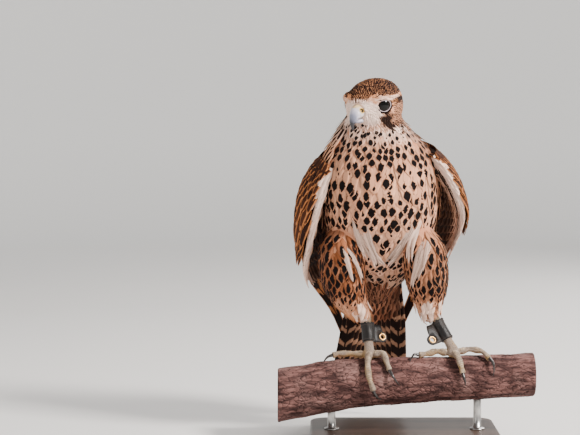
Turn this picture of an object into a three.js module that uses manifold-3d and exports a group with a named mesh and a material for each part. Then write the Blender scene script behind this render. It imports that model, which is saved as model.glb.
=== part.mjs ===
// A large spotted falcon, life size, standing on a cut length of log that a plain display stand holds up.
// Millimetres, +Z up, the bird's breast towards -Y and its right side towards -X. The origin is the middle of
// the underside of the stand's base.
import * as THREE from "three";
import { mergeVertices } from "three/addons/utils/BufferGeometryUtils.js";
import Module from "manifold-3d";

const wasm = await Module();
wasm.setup();

// Driving sizes

const GAP = 0.3;
const PERCH_HEIGHT = 108;
const BASE = { width: 236, depth: 170, thick: 12, corner: 22, bevel: 1.5 };
const BASE_FROM_BIRD = { x: 32, y: 8 };
const ROD = { radius: 5, spread: 92, socket: 4 };
const VANE_THICK = 0.7;
const FINENESS = 0.12;
const HEAD = { x: -8.5, y: -12, z: 313, turn: 38, pitch: 12 };
const EYE = { forward: 15, side: 24.5, up: 4, radius: 9.4, lid: 11.4, toe: 38 };
const CERE_END = 40.6;
const NECK_CUT = 252;
const SIDES = [1, -1];

// The log, station by station along X: height of its middle below the bird's standing level, and radius.
const PERCH = [
  [-128, -51, 34.5],
  [-101, -47, 34.5],
  [-59, -39.5, 33],
  [-6, -34.5, 31],
  [71, -31, 29],
  [186, -26.5, 28],
  [194, -26, 28],
];
// The body from the vent to under the head: height, middle x and y, half width, depth to the front and back.
const BODY = [
  [60, 0, 68, 9, 8, 8],
  [70, 0, 63, 20, 17, 18],
  [90, -1, 53, 37, 34, 34],
  [115, -1, 39, 56, 51, 46],
  [145, 0, 25, 68, 63, 53],
  [175, 1, 14, 73, 70, 57],
  [205, 0, 6, 75, 71, 57],
  [235, -1, 2, 74, 63, 55],
  [255, -2, 0, 68, 53, 49],
  [270, -4, -2, 57, 45, 44],
  [285, -8, -4, 45, 37, 39],
  [298, -9, -3, 37, 29, 36],
  [308, -9, -2, 27, 19, 28],
];
// The feathered thighs, top to bottom, in the same terms.
const THIGH = {
  r: [
    [41, -18, 14.5, 8.5, 8.5, 10],
    [48, -24, 13.5, 14, 14, 18],
    [60, -34, 10, 21, 24, 25],
    [85, -44, 4, 28, 33, 33],
    [114, -48, -2, 30, 37, 36],
    [140, -48, -6, 28, 34, 34],
    [162, -44, -8, 18, 20, 24],
  ],
  l: [
    [42, 66, 14.5, 8.5, 8.5, 10],
    [49, 64, 13.5, 12.5, 12.5, 17],
    [62, 62, 10, 18, 21, 24],
    [85, 60, 3, 26, 31, 32],
    [114, 57, -2, 29, 36, 36],
    [140, 52, -6, 28, 34, 34],
    [162, 46, -8, 18, 20, 24],
  ],
};
// The skull and its short feathers, nape to lores, in the head's own frame: forward, half width, top, bottom.
const SKULL = [
  [-39, 9, 6, 8],
  [-33, 20, 19, 21],
  [-22, 29, 29, 28],
  [-8, 34, 33, 31],
  [5, 34.5, 32, 31],
  [15, 31.5, 28, 29],
  [24, 25.5, 21.5, 25],
  [31, 18.5, 14, 20.5],
  [36, 12, 8.5, 16.5],
];
// The upper bill along its ridge: forward, height of the ridge, half width, depth.
const BILL = [
  [30, 7.5, 9.5, 17],
  [36, 7.5, 8.8, 15.5],
  [42, 5.5, 7.6, 14.5],
  [47, 1, 6, 13.5],
  [50.5, -5, 4, 11],
  [51.5, -11, 2, 7.5],
];
// The folded wings: leading edge and upper edge from the bend of the wing to its tip, as x, y and height.
const WING = {
  r: {
    lead: [
      [-62, -34, 236],
      [-76, -30, 190],
      [-88, -8, 138],
      [-93, 30, 95],
      [-68, 88, 44],
      [-36, 154, -24],
    ],
    top: [
      [-50, 20, 262],
      [-50, 54, 218],
      [-46, 74, 168],
      [-42, 94, 118],
      [-36, 120, 62],
      [-30, 158, -18],
    ],
    bulge: 46,
  },
  l: {
    lead: [
      [66, -28, 252],
      [89, -24, 216],
      [104, -4, 176],
      [96, 34, 134],
      [64, 92, 68],
      [26, 156, -20],
    ],
    top: [
      [46, 26, 268],
      [50, 56, 228],
      [46, 76, 180],
      [42, 96, 130],
      [34, 122, 72],
      [20, 160, -14],
    ],
    bulge: 26,
  },
};
const TAIL = { root: [0, 60, 88], tip: [-9, 176, -86], base: 25, spread: 54, count: 12, length: 206 };

// Feet: toes as points on the log, given as x, angle forward of its top, and lift of the toe's middle.
const FEET = {
  r: {
    pad: [-13, 6, 6],
    hock: [-16, 15, 50],
    toes: {
      hallux: [[-12, -14, 5], [-13, -38, 4.6], [-14, -58, 4.4]],
      inner: [[-6, 14, 6.4], [3, 18, 8.2], [8, 40, 5.2], [11, 58, 4.8]],
      middle: [[-14, 18, 7], [-16, 44, 6], [-14, 74, 5.6], [-9, 99, 4.8]],
      outer: [[-22, 4, 6.6], [-36, 0, 6.8], [-50, 0, 8], [-59, 4, 7.4]],
    },
    claws: {
      hallux: [[-14, -74, 6.5], [-14, -88, 2.8], [-14, -96, 0.9]],
      inner: [[15, 72, 7.2], [20, 84, 5.2], [24, 94, 1]],
      middle: [[-5, 113, 6], [-1, 122, 3.6], [2, 128, 0.9]],
      outer: [[-65, 8, 6.4], [-69, 14, 3.6], [-70.5, 19, 0.9]],
    },
  },
  l: {
    pad: [92, 10, 6],
    hock: [66, 15, 53],
    toes: {
      hallux: [[93, -14, 5], [95, -38, 4.6], [96, -58, 4.4]],
      inner: [[83, 10, 6.4], [71, 8, 7.4], [60, 10, 5.4], [49, 14, 4.8]],
      middle: [[94, 24, 7.4], [97, 38, 9], [100, 56, 6.6], [102, 70, 5]],
      outer: [[101, 10, 6.8], [113, 6, 8.2], [127, 12, 7.4], [136, 36, 5.2]],
    },
    claws: {
      hallux: [[96, -74, 6.5], [97, -88, 2.8], [97, -96, 0.9]],
      inner: [[43, 18, 6.2], [39, 26, 3.4], [37, 34, 0.9]],
      middle: [[104, 84, 6.2], [105, 94, 3.4], [105, 101, 0.9]],
      outer: [[140, 52, 7.4], [141, 66, 4.6], [140, 78, 0.9]],
    },
  },
};
const TOE_RADIUS = { hallux: 4.6, inner: 4.6, middle: 4.9, outer: 4.3 };
const ANKLET = { low: 0.26, high: 0.74, radius: 7.6, thick: 1.5, flap: 19, grommet: 4.6 };

// Small tools

const V = (x, y, z) => new THREE.Vector3(x, y, z);
const lerp = THREE.MathUtils.lerp;
const rad = THREE.MathUtils.degToRad;
// A place given from the bird's own middle at its standing level.
const place = (x, y, z) => V(x - BASE_FROM_BIRD.x, y - BASE_FROM_BIRD.y, z + PERCH_HEIGHT);
const placed = (points) => points.map(([x, y, z]) => place(x, y, z));
const curve = (points) => new THREE.CatmullRomCurve3(points, false, "centripetal");

// A smooth value at s from rows whose first number rises: the other numbers, by cubic interpolation.
function along(rows, s) {
  let i = rows.findIndex((row) => row[0] >= s);
  if (i < 0) i = rows.length - 1;
  i = Math.max(1, i);
  const [p, q] = [rows[i - 1], rows[i]];
  const before = rows[Math.max(0, i - 2)];
  const after = rows[Math.min(rows.length - 1, i + 1)];
  const span = q[0] - p[0];
  const t = THREE.MathUtils.clamp((s - p[0]) / span, 0, 1);
  return p.slice(1).map((value, k) => {
    const a = ((q[k + 1] - before[k + 1]) / (q[0] - before[0])) * span;
    const b = ((after[k + 1] - value) / (after[0] - p[0])) * span;
    const [t2, t3] = [t * t, t * t * t];
    return value * (2 * t3 - 3 * t2 + 1) + a * (t3 - 2 * t2 + t) + q[k + 1] * (3 * t2 - 2 * t3) + b * (t3 - t2);
  });
}

// The numbers of a geometry as a closed solid, with faces that have no area dropped.
function manifoldOf(geometry, tolerance) {
  const bare = new THREE.BufferGeometry();
  bare.setAttribute("position", geometry.getAttribute("position"));
  bare.setIndex(geometry.getIndex());
  const merged = mergeVertices(bare, tolerance);
  const faces = merged.index.array;
  const triVerts = [];
  for (let i = 0; i < faces.length; i += 3) {
    const [a, b, c] = faces.slice(i, i + 3);
    if (a !== b && b !== c && a !== c) triVerts.push(a, b, c);
  }
  const vertProperties = new Float32Array(merged.attributes.position.array);
  const made = (order) =>
    new wasm.Manifold(new wasm.Mesh({ numProp: 3, vertProperties, triVerts: new Uint32Array(order) }));
  const first = made(triVerts);
  return first.volume() >= 0 ? first : made(triVerts.reverse());
}

const solid = (geometry) => manifoldOf(geometry, 1e-4);

function geometryFrom(made) {
  const mesh = made.getMesh();
  const geometry = new THREE.BufferGeometry();
  geometry.setAttribute("position", new THREE.BufferAttribute(mesh.vertProperties, 3));
  geometry.setIndex(new THREE.BufferAttribute(mesh.triVerts, 1));
  return geometry;
}

// The largest closed surface of a solid, without the slivers that joining and cutting leave.
function largest(made) {
  const parts = made.decompose();
  parts.sort((a, b) => b.volume() - a.volume());
  return parts[0];
}

function geometryOf(made) {
  const lean = largest(made).simplify(FINENESS);
  const geometry = geometryFrom(largest(manifoldOf(geometryFrom(lean), 2e-3)));
  geometry.computeVertexNormals();
  return geometry;
}

const joined = (solids) => wasm.Manifold.union(solids);

// A skin through rings of equally many points, closed by a point at each end.
function loft(rings) {
  const n = rings[0].length;
  const positions = [];
  rings.forEach((ring) => ring.forEach((p) => positions.push(p.x, p.y, p.z)));
  const index = [];
  for (let i = 0; i < rings.length - 1; i++) {
    for (let k = 0; k < n; k++) {
      const [a, b] = [i * n + k, i * n + ((k + 1) % n)];
      index.push(a, b, b + n, a, b + n, a + n);
    }
  }
  [0, rings.length - 1].forEach((i) => {
    const middle = rings[i].reduce((sum, p) => sum.add(p), V(0, 0, 0)).divideScalar(n);
    const tip = positions.length / 3;
    positions.push(middle.x, middle.y, middle.z);
    for (let k = 0; k < n; k++) {
      const [a, b] = [i * n + k, i * n + ((k + 1) % n)];
      if (i === 0) index.push(tip, b, a);
      else index.push(tip, a, b);
    }
  });
  const geometry = new THREE.BufferGeometry();
  geometry.setAttribute("position", new THREE.Float32BufferAttribute(positions, 3));
  geometry.setIndex(index);
  return solid(geometry);
}

// A round limb along a path, with its radius given by the share of the way.
function limb(path, radiusAt, sides, steps, flat = 1) {
  const rings = [];
  const side = V(0, 0, 0);
  for (let i = 0; i <= steps; i++) {
    const t = i / steps;
    const middle = path.getPoint(t);
    const way = path.getTangent(t);
    if (i === 0) side.crossVectors(way, Math.abs(way.z) > 0.8 ? V(1, 0, 0) : V(0, 0, 1));
    side.addScaledVector(way, -side.dot(way)).normalize();
    const up = V(0, 0, 0).crossVectors(side, way);
    const ring = [];
    for (let k = 0; k < sides; k++) {
      const a = (2 * Math.PI * k) / sides;
      const r = radiusAt(t, a);
      ring.push(
        middle
          .clone()
          .addScaledVector(side, r * Math.cos(a))
          .addScaledVector(up, r * flat * Math.sin(a)),
      );
    }
    rings.push(ring);
  }
  return loft(rings);
}

// An upright body of flesh and feathers from rows of height, middle, half width, front and back depth.
function column(rows, sides, steps, grow = 0) {
  const [low, high] = [rows[0][0], rows[rows.length - 1][0]];
  const rings = [];
  for (let i = 0; i <= steps; i++) {
    const t = i / steps;
    const z = lerp(low, high, t);
    const [x, y, w, front, back] = along(rows, z);
    const rise = i === 0 ? -grow : i === steps ? grow : 0;
    const ring = [];
    for (let k = 0; k < sides; k++) {
      const a = (2 * Math.PI * k) / sides;
      const depth = Math.sin(a) < 0 ? front : back;
      ring.push(place(x + (w + grow) * Math.cos(a), y + (depth + grow) * Math.sin(a), z + rise));
    }
    rings.push(ring);
  }
  return loft(rings);
}

// One feather vane: a flat strip of even thickness on its own path, split alike above and below.
function vane(points, normals, widths, thick = VANE_THICK) {
  const positions = [];
  const last = points.length - 1;
  points.forEach((p, i) => {
    const way = points[Math.min(i + 1, last)].clone().sub(points[Math.max(i - 1, 0)]).normalize();
    const across = V(0, 0, 0).crossVectors(way, normals[i]).normalize();
    const up = V(0, 0, 0).crossVectors(across, way);
    [-1, 1].forEach((top) =>
      [-1, 1].forEach((edge) => {
        const q = p
          .clone()
          .addScaledVector(across, edge * widths[i])
          .addScaledVector(up, (top * thick) / 2);
        positions.push(q.x, q.y, q.z);
      }),
    );
  });
  const index = [];
  for (let i = 0; i < last; i++) {
    const [a, b] = [4 * i, 4 * i + 4];
    index.push(a, a + 1, b + 1, a, b + 1, b);
    index.push(a + 2, b + 3, a + 3, a + 2, b + 2, b + 3);
    index.push(a, b + 2, a + 2, a, b, b + 2);
    index.push(a + 1, a + 3, b + 3, a + 1, b + 3, b + 1);
  }
  const b = 4 * last;
  index.push(0, 2, 3, 0, 3, 1, b, b + 1, b + 3, b, b + 3, b + 2);
  const geometry = new THREE.BufferGeometry();
  geometry.setAttribute("position", new THREE.Float32BufferAttribute(positions, 3));
  geometry.setIndex(index);
  return solid(geometry);
}

// The share of a vane's full half width at each station: narrow root, full middle, rounded or pointed tip.
const vaneShape = (steps, point) =>
  Array.from({ length: steps + 1 }, (_, i) => {
    const t = i / steps;
    const root = 0.45 + 0.55 * Math.min(1, t * 3);
    const tip = Math.pow(Math.max(0, 1 - Math.pow(t, point)), 0.6);
    return Math.max(0.07, root * tip);
  });

// The log

function perchMiddle(x) {
  const [z, r] = along(PERCH, x);
  return { z, r };
}

// The bark's swell at a place on the log: long flutes, knots and a cut branch's bump.
function bark(x, a) {
  const flutes = 0.022 * Math.sin(3 * a + x * 0.012) + 0.016 * Math.sin(5 * a - x * 0.02 + 1);
  const waves = 0.014 * Math.sin(x * 0.07 + 2 * a) + 0.01 * Math.sin(x * 0.17 + a + 2);
  return 1 + flutes + waves - 0.03;
}

function perchPoint(x, degrees, lift) {
  const { z, r } = perchMiddle(x);
  const a = rad(degrees);
  const reach = r * bark(x, a) + lift;
  return place(x, -reach * Math.sin(a), z + reach * Math.cos(a));
}

function perch(grow = 0) {
  const [start, end] = [PERCH[0][0], PERCH[PERCH.length - 1][0]];
  const [sides, steps] = [20, 14];
  const rings = [];
  for (let i = 0; i <= steps; i++) {
    const x = lerp(start, end, i / steps);
    const inset = i === 0 || i === steps ? -1.6 : 0;
    const ring = [];
    for (let k = 0; k < sides; k++) ring.push(perchPoint(x, (360 * k) / sides, grow + inset));
    rings.push(ring);
  }
  return loft(rings);
}

// The stand

function standBase() {
  const { width, depth, thick, corner, bevel } = BASE;
  const [w, d] = [width / 2 - bevel, depth / 2 - bevel];
  const r = corner - bevel;
  const outline = new THREE.Shape();
  outline.absarc(w - r, d - r, r, 0, Math.PI / 2);
  outline.absarc(-w + r, d - r, r, Math.PI / 2, Math.PI);
  outline.absarc(-w + r, -d + r, r, Math.PI, 1.5 * Math.PI);
  outline.absarc(w - r, -d + r, r, 1.5 * Math.PI, 2 * Math.PI);
  outline.closePath();
  const geometry = new THREE.ExtrudeGeometry(outline, {
    depth: thick - bevel,
    bevelThickness: bevel,
    bevelSize: bevel,
    bevelSegments: 1,
    curveSegments: 4,
  });
  const slab = solid(geometry);
  const floor = solid(new THREE.BoxGeometry(2 * width, 2 * depth, 40).translate(0, 0, -20));
  return slab.subtract(floor);
}

// A rod from its socket in the base up into the log, or with grow the hole it stands in.
function standRod(end, grow = 0) {
  const foot = place(BASE_FROM_BIRD.x + end * ROD.spread, 0, 0);
  const { z, r } = perchMiddle(foot.x + BASE_FROM_BIRD.x);
  const low = BASE.thick - ROD.socket - grow;
  const high = z + PERCH_HEIGHT - r * 0.7 + grow;
  const geometry = new THREE.CylinderGeometry(ROD.radius + grow, ROD.radius + grow, high - low, 16);
  geometry.rotateX(Math.PI / 2).translate(foot.x, foot.y, (high + low) / 2);
  return solid(geometry);
}

// The head

const headFrame = new THREE.Matrix4();
{
  const turn = rad(HEAD.turn);
  const pitch = rad(HEAD.pitch);
  const flat = V(-Math.sin(turn), -Math.cos(turn), 0);
  const left = V(Math.cos(turn), -Math.sin(turn), 0);
  const forward = flat.clone().multiplyScalar(Math.cos(pitch)).add(V(0, 0, -Math.sin(pitch)));
  const up = V(0, 0, 0).crossVectors(forward, left);
  headFrame.makeBasis(forward, left, up).setPosition(place(HEAD.x, HEAD.y, HEAD.z));
}
const inHead = (forward, left, up) => V(forward, left, up).applyMatrix4(headFrame);
// Where each eye's middle is, and which way it looks.
function eyeAxis(side) {
  const toe = rad(EYE.toe);
  const middle = inHead(EYE.forward, side * EYE.side, EYE.up);
  const out = V(Math.sin(toe), side * Math.cos(toe), 0.03).transformDirection(headFrame);
  return { middle, out };
}

function skull(grow = 0) {
  const steps = 12;
  const sides = 20;
  const [low, high] = [SKULL[0][0], SKULL[SKULL.length - 1][0]];
  const rings = [];
  for (let i = 0; i <= steps; i++) {
    const t = i / steps;
    const s = lerp(low, high, t);
    const [w, top, bottom] = along(SKULL, s);
    const ring = [];
    for (let k = 0; k < sides; k++) {
      const a = (2 * Math.PI * k) / sides;
      const lift = Math.sin(a) > 0 ? top : bottom;
      const square = 1 + 0.05 * Math.pow(Math.sin(2 * a), 2);
      ring.push(inHead(s, (w + grow) * Math.cos(a) * square, (lift + grow) * Math.sin(a) * square));
    }
    rings.push(ring);
  }
  return loft(rings);
}

function eyeball(side, grow = 0) {
  const { middle, out } = eyeAxis(side);
  const radius = EYE.radius + grow;
  const ball = new THREE.SphereGeometry(radius, 14, 8);
  ball.rotateX(Math.PI / 2);
  ball.applyQuaternion(new THREE.Quaternion().setFromUnitVectors(V(0, 0, 1), out));
  return solid(ball.translate(middle.x, middle.y, middle.z));
}

// The bare ring of the lids: a low collar round the front of the eye.
function lidRing(side) {
  const { middle, out } = eyeAxis(side);
  const profile = [
    [EYE.radius - 3, 0],
    [EYE.lid, 0],
    [EYE.lid + 0.2, 5.2],
    [EYE.lid - 1, 7.2],
    [EYE.radius - 1.9, 7.6],
    [EYE.radius - 3, 6],
  ].map(([r, z]) => new THREE.Vector2(r, z));
  const ring = new THREE.LatheGeometry([...profile, profile[0]], 12).rotateX(Math.PI / 2);
  ring.applyQuaternion(new THREE.Quaternion().setFromUnitVectors(V(0, 0, 1), out));
  return solid(ring.translate(middle.x, middle.y, middle.z));
}

// The brow: a ridge that shades the eye from above, from the lores to behind the eye.
function brow(side, grow = 0) {
  const path = curve([
    inHead(29, side * 15, 9),
    inHead(23, side * 23.5, 14),
    inHead(13, side * 29.5, 16),
    inHead(2, side * 31.5, 14),
    inHead(-8, side * 31, 10),
  ]);
  return limb(path, (t) => grow + 1 + 3.4 * Math.sin(Math.PI * Math.min(1, 0.12 + 0.8 * t)), 7, 6);
}

// One half of the bill as rings down from its ridge, from the cere to the hooked tip.
function billRing(s, ridge, w, depth, grow, sides = 14) {
  const ring = [];
  for (let k = 0; k < sides; k++) {
    const a = (2 * Math.PI * k) / sides;
    const up = ridge - depth / 2 + (depth / 2 + grow) * Math.sin(a);
    ring.push(inHead(s, (w + grow) * Math.cos(a) * (1 - 0.18 * Math.max(0, Math.sin(a))), up));
  }
  return ring;
}

function upperBill(grow = 0) {
  const rings = [];
  const steps = 12;
  for (let i = 0; i <= steps; i++) {
    const s = lerp(BILL[0][0], BILL[BILL.length - 1][0], i / steps);
    const [ridge, w, depth] = along(BILL, s);
    rings.push(billRing(s, ridge, w, depth, grow));
  }
  const hook = curve([inHead(49, 0, -8), inHead(51, 0, -13.5), inHead(50.4, 0, -18), inHead(48.4, 0, -21.5)]);
  const tip = limb(hook, (t) => lerp(4.4 + grow, 0.4 + grow, Math.pow(t, 1.3)), 10, 6);
  return joined([loft(rings), tip]);
}

// The space that the mouth's line opens between the two halves, and the lower half's outer form.
function mouthCut() {
  const path = curve([
    inHead(20, 0, -10.5),
    inHead(32, 0, -8.8),
    inHead(40, 0, -8.6),
    inHead(45, 0, -11.4),
    inHead(52, 0, -19),
  ]);
  const rings = [];
  for (let i = 0; i <= 10; i++) {
    const p = path.getPoint(i / 10);
    const local = p.clone().applyMatrix4(headFrame.clone().invert());
    const [w, thick] = [22, 0.45];
    rings.push(
      [[-w, -thick], [w, -thick], [w, thick], [-w, thick]].map(([y, z]) => inHead(local.x, y, local.z + z)),
    );
  }
  return loft(rings);
}

// Everything in the head's frame below the line of the mouth.
function belowMouth() {
  const line = [
    [16, -11],
    [32, -8.8],
    [40, -8.6],
    [45, -11.4],
    [49, -16],
    [52, -21],
  ];
  const outline = new THREE.Shape(line.map(([s, u]) => new THREE.Vector2(s, u)));
  outline.lineTo(52, -60);
  outline.lineTo(16, -60);
  outline.closePath();
  const slab = new THREE.ExtrudeGeometry(outline, { depth: 60, bevelEnabled: false });
  slab.translate(0, 0, -30).rotateX(Math.PI / 2);
  return solid(slab.applyMatrix4(headFrame));
}

function lowerBill(grow = 0) {
  const rings = [
    [29, 9, -8.6, -20],
    [34, 8.4, -8.4, -18.6],
    [39, 6.8, -8.4, -17],
    [43.5, 4.6, -9, -16],
    [46.6, 2.2, -11.5, -15.4],
  ].map(([s, w, top, bottom]) => {
    const ring = [];
    for (let k = 0; k < 12; k++) {
      const a = (2 * Math.PI * k) / 12;
      const up = (top + bottom) / 2 + ((top - bottom) / 2 + grow) * Math.sin(a);
      ring.push(inHead(s, (w + grow) * Math.cos(a), up));
    }
    return ring;
  });
  return loft(rings);
}

// A round nostril on each side of the cere, with a peg in its middle.
function nostril(side) {
  const pit = new THREE.CylinderGeometry(1.9, 1.9, 5, 12);
  const peg = new THREE.CylinderGeometry(0.6, 0.6, 5.2, 8);
  const turned = headFrame.clone().multiply(new THREE.Matrix4().makeTranslation(37.4, side * 8.6, 1.6));
  return solid(pit).subtract(solid(peg)).transform([...turned.elements]);
}

// Wings and tail

// The folded wing's outer surface: u runs from the bend to the tip, v from the leading to the upper edge.
function wingSheet(side) {
  const lead = curve(placed(WING[side].lead));
  const top = curve(placed(WING[side].top));
  const out = side === "l" ? 1 : -1;
  const flat = (u, v, lift) => {
    const share = THREE.MathUtils.clamp(u, 0, 1);
    const p = lead.getPoint(share).lerp(top.getPoint(share), v);
    const swell = WING[side].bulge * (1 - 0.9 * share) * Math.sin(Math.PI * Math.min(1, 0.15 + share));
    const rise = swell * Math.sin(Math.PI * Math.pow(v, 0.75)) + lift;
    return p.add(V(out * 0.93, 0.36, 0.1).normalize().multiplyScalar(rise));
  };
  const normal = (u, v) => {
    const e = 0.02;
    const du = flat(Math.min(1, u + e), v, 0).sub(flat(Math.max(0, u - e), v, 0));
    const dv = flat(u, Math.min(1, v + e), 0).sub(flat(u, Math.max(0, v - e), 0));
    const n = V(0, 0, 0).crossVectors(du, dv).normalize();
    return n.x * out < 0 ? n.negate() : n;
  };
  return { point: (u, v, lift) => flat(u, v, 0).addScaledVector(normal(u, v), lift), normal };
}

// The wing's flesh and small coverts: a thick, round-edged leaf from the bend to past its middle.
function wingArm(sheet) {
  const [steps, half, reach] = [8, 5, 0.62];
  const rings = [];
  for (let i = 0; i <= steps; i++) {
    const u = lerp(0, reach, i / steps);
    const thick = lerp(24, 5, Math.pow(i / steps, 0.8));
    const close = i === 0 ? 0.7 : 1;
    const ring = [];
    for (let k = 0; k < 2 * half; k++) {
      const outer = k <= half;
      const v = 0.5 - 0.5 * close * Math.cos((Math.PI * (outer ? k : 2 * half - k)) / half);
      const round = Math.sqrt(Math.max(0, 1 - Math.pow(2 * v - 1, 4)));
      ring.push(sheet.point(u, v, outer ? 0 : -thick * (0.25 + 0.75 * round)));
    }
    rings.push(ring);
  }
  return loft(rings);
}

// A vane laid on the wing from one place to another, its lift given at root and tip.
function wingVane(sheet, from, to, width, lifts, point, steps = 5) {
  const shape = vaneShape(steps, point);
  const points = [];
  const normals = [];
  for (let i = 0; i <= steps; i++) {
    const t = i / steps;
    const [u, v] = [lerp(from[0], to[0], t), lerp(from[1], to[1], t)];
    points.push(sheet.point(u, v, lerp(lifts[0], lifts[1], Math.min(1, t * 1.6))));
    normals.push(sheet.normal(Math.min(0.98, u), v));
  }
  return vane(points, normals, shape.map((share) => share * width));
}

function wing(side) {
  const sheet = wingSheet(side);
  const pieces = [wingArm(sheet)];
  const primaries = 8;
  for (let i = 0; i < primaries; i++) {
    const s = i / (primaries - 1);
    const reach = lerp(1, 0.63, Math.pow(s, 0.85));
    const from = [0.3, lerp(0.2, 0.46, s)];
    const to = [reach, lerp(0.5, 0.62, s)];
    pieces.push(wingVane(sheet, from, to, lerp(6, 8, s), [-5, -4 + 1.35 * i], 5, 4));
  }
  const secondaries = 7;
  for (let i = 0; i < secondaries; i++) {
    const s = i / (secondaries - 1);
    const from = [0.24, lerp(0.42, 0.8, s)];
    const to = [lerp(0.66, 0.5, s), lerp(0.6, 0.93, s)];
    pieces.push(wingVane(sheet, from, to, 7, [-1, 6 + 1.2 * i], 6, 3));
  }
  [
    { count: 6, start: 0.2, reach: 0.43, width: 6.2, lift: 2.2 },
    { count: 6, start: 0.1, reach: 0.29, width: 6, lift: 2.6 },
  ].forEach((tier, row) => {
    for (let i = 0; i < tier.count; i++) {
      const s = (i + 0.5 * row) / (tier.count - 0.5);
      const from = [tier.start, lerp(0.2, 0.84, s)];
      const to = [tier.reach, lerp(0.3, 0.9, s)];
      const top = tier.lift + 3.2 + 0.9 * i;
      pieces.push(wingVane(sheet, from, to, tier.width, [-1.5, row === 0 ? top + 1.5 : top - 1.5], 5, 2));
    }
  });
  return joined(pieces);
}

// The tail feathers, fanned from the rump, the middle pair outermost on the back.
function tail() {
  const root = place(...TAIL.root);
  const tip = place(...TAIL.tip);
  const way = tip.clone().sub(root).normalize();
  const across = V(1, 0, 0).addScaledVector(way, -way.x).normalize();
  const back = V(0, 0, 0).crossVectors(across, way);
  if (back.y < 0) back.negate();
  const pieces = [];
  const feather = (share, from, to, width, liftRoot, liftTip, point, spreadTip) => {
    const steps = from < 0 && to > 0.6 ? 5 : 3;
    const points = [];
    const normals = [];
    const shape = vaneShape(steps, point);
    for (let i = 0; i <= steps; i++) {
      const t = i / steps;
      const reach = lerp(from, to, t) * TAIL.length;
      const out = share * lerp(TAIL.base, spreadTip, lerp(from, to, t));
      const arch = -7 * share * share * lerp(from, to, t);
      points.push(
        root
          .clone()
          .addScaledVector(way, reach)
          .addScaledVector(across, out)
          .addScaledVector(back, arch + lerp(liftRoot, liftTip, t)),
      );
      normals.push(back.clone().addScaledVector(across, share * 0.25).normalize());
    }
    pieces.push(vane(points, normals, shape.map((part) => part * width)));
  };
  for (let i = 0; i < TAIL.count; i++) {
    const share = (2 * i) / (TAIL.count - 1) - 1;
    const fromMiddle = Math.abs(share);
    const lift = 5 * (1 - fromMiddle) + (share > 0 ? 0.45 : 0);
    const end = lerp(1, 0.93, Math.pow(fromMiddle, 2));
    feather(share, -0.02, end, 10.5, lift * 0.4, lift, 9, TAIL.spread - 9);
  }
  for (let i = 0; i < 6; i++) {
    const share = (2 * i) / 5 - 1;
    feather(share * 0.85, -0.04, 0.34 - 0.06 * Math.abs(share), 9, -6, -2.6 - 0.5 * (i % 2), 4, 42);
    feather(share * 0.8, -0.06, 0.3 - 0.05 * Math.abs(share), 9, 9, 7.6 + 0.5 * (i % 2), 4, 40);
  }
  const rump = curve([
    root.clone().addScaledVector(way, -26),
    root.clone().addScaledVector(way, 2),
    root.clone().addScaledVector(way, 44),
  ]);
  pieces.push(limb(rump, (t, a) => lerp(18, 5, t) * (0.72 + 0.28 * Math.cos(a) ** 2), 14, 5));
  return joined(pieces);
}

// Legs

// The loose feathers that hang behind the lower thigh.
function flags(side) {
  const rows = THIGH[side];
  const pieces = [];
  const count = 5;
  for (let i = 0; i < count; i++) {
    const s = i / (count - 1);
    const turn = lerp(-0.1, 1.1, s) * Math.PI;
    const steps = 3;
    const shape = vaneShape(steps, 3);
    const [points, normals] = [[], []];
    const drop = 26 + 22 * Math.sin(Math.PI * s);
    for (let j = 0; j <= steps; j++) {
      const t = j / steps;
      const z = lerp(rows[2][0] + 4, rows[2][0] - drop, t);
      const [x, y, w, , b] = along(rows, Math.max(z, rows[2][0] - 16));
      const slack = 1 - 0.3 * t;
      const lift = 2.2 * t + 0.4 * (i % 2);
      const out = V(Math.cos(turn), Math.sin(turn), 0);
      points.push(place(x + (w * slack + lift) * out.x, y + (b * slack + lift) * out.y, z));
      normals.push(out);
    }
    pieces.push(vane(points, normals, shape.map((share) => share * 6.5)));
  }
  return pieces;
}

const thigh = (side, grow = 0) => column(THIGH[side], 16, 8, grow);

function shank(side, grow = 0) {
  const foot = FEET[side];
  const path = curve([
    place(...foot.hock),
    place(...foot.hock).lerp(perchPoint(...foot.pad), 0.5),
    perchPoint(foot.pad[0], foot.pad[1], foot.pad[2] + 3),
  ]);
  return limb(path, (t) => grow + lerp(5.2, 5.6, t) + 1.2 * Math.pow(Math.abs(2 * t - 1), 3), 12, 5);
}

// The ball of the foot, where the toes meet.
function footPad(side, grow = 0) {
  const ball = new THREE.SphereGeometry(1, 12, 8);
  const middle = perchPoint(...FEET[side].pad);
  return solid(ball.scale(9.2 + grow, 9.4 + grow, 7 + grow).translate(middle.x, middle.y, middle.z));
}

const toePath = (side, toe) =>
  curve([perchPoint(...FEET[side].pad), ...FEET[side].toes[toe].map((p) => perchPoint(...p))]);

// A toe with a pad under each joint.
function toe(side, name, grow = 0) {
  const r = TOE_RADIUS[name];
  const swell = (t) => 1 + 0.13 * Math.cos(2 * Math.PI * 3 * t + 0.4) - 0.12 * t;
  return limb(toePath(side, name), (t) => r * swell(t) + grow, 8, 8);
}

function claw(side, name) {
  const path = toePath(side, name);
  const points = FEET[side].claws[name].map((p) => perchPoint(...p));
  const start = path.getPoint(0.95);
  const way = curve([start, path.getPoint(1), ...points]);
  return limb(way, (t) => lerp(3.1, 0.45, Math.pow(t, 0.9)), 6, 5);
}

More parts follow.
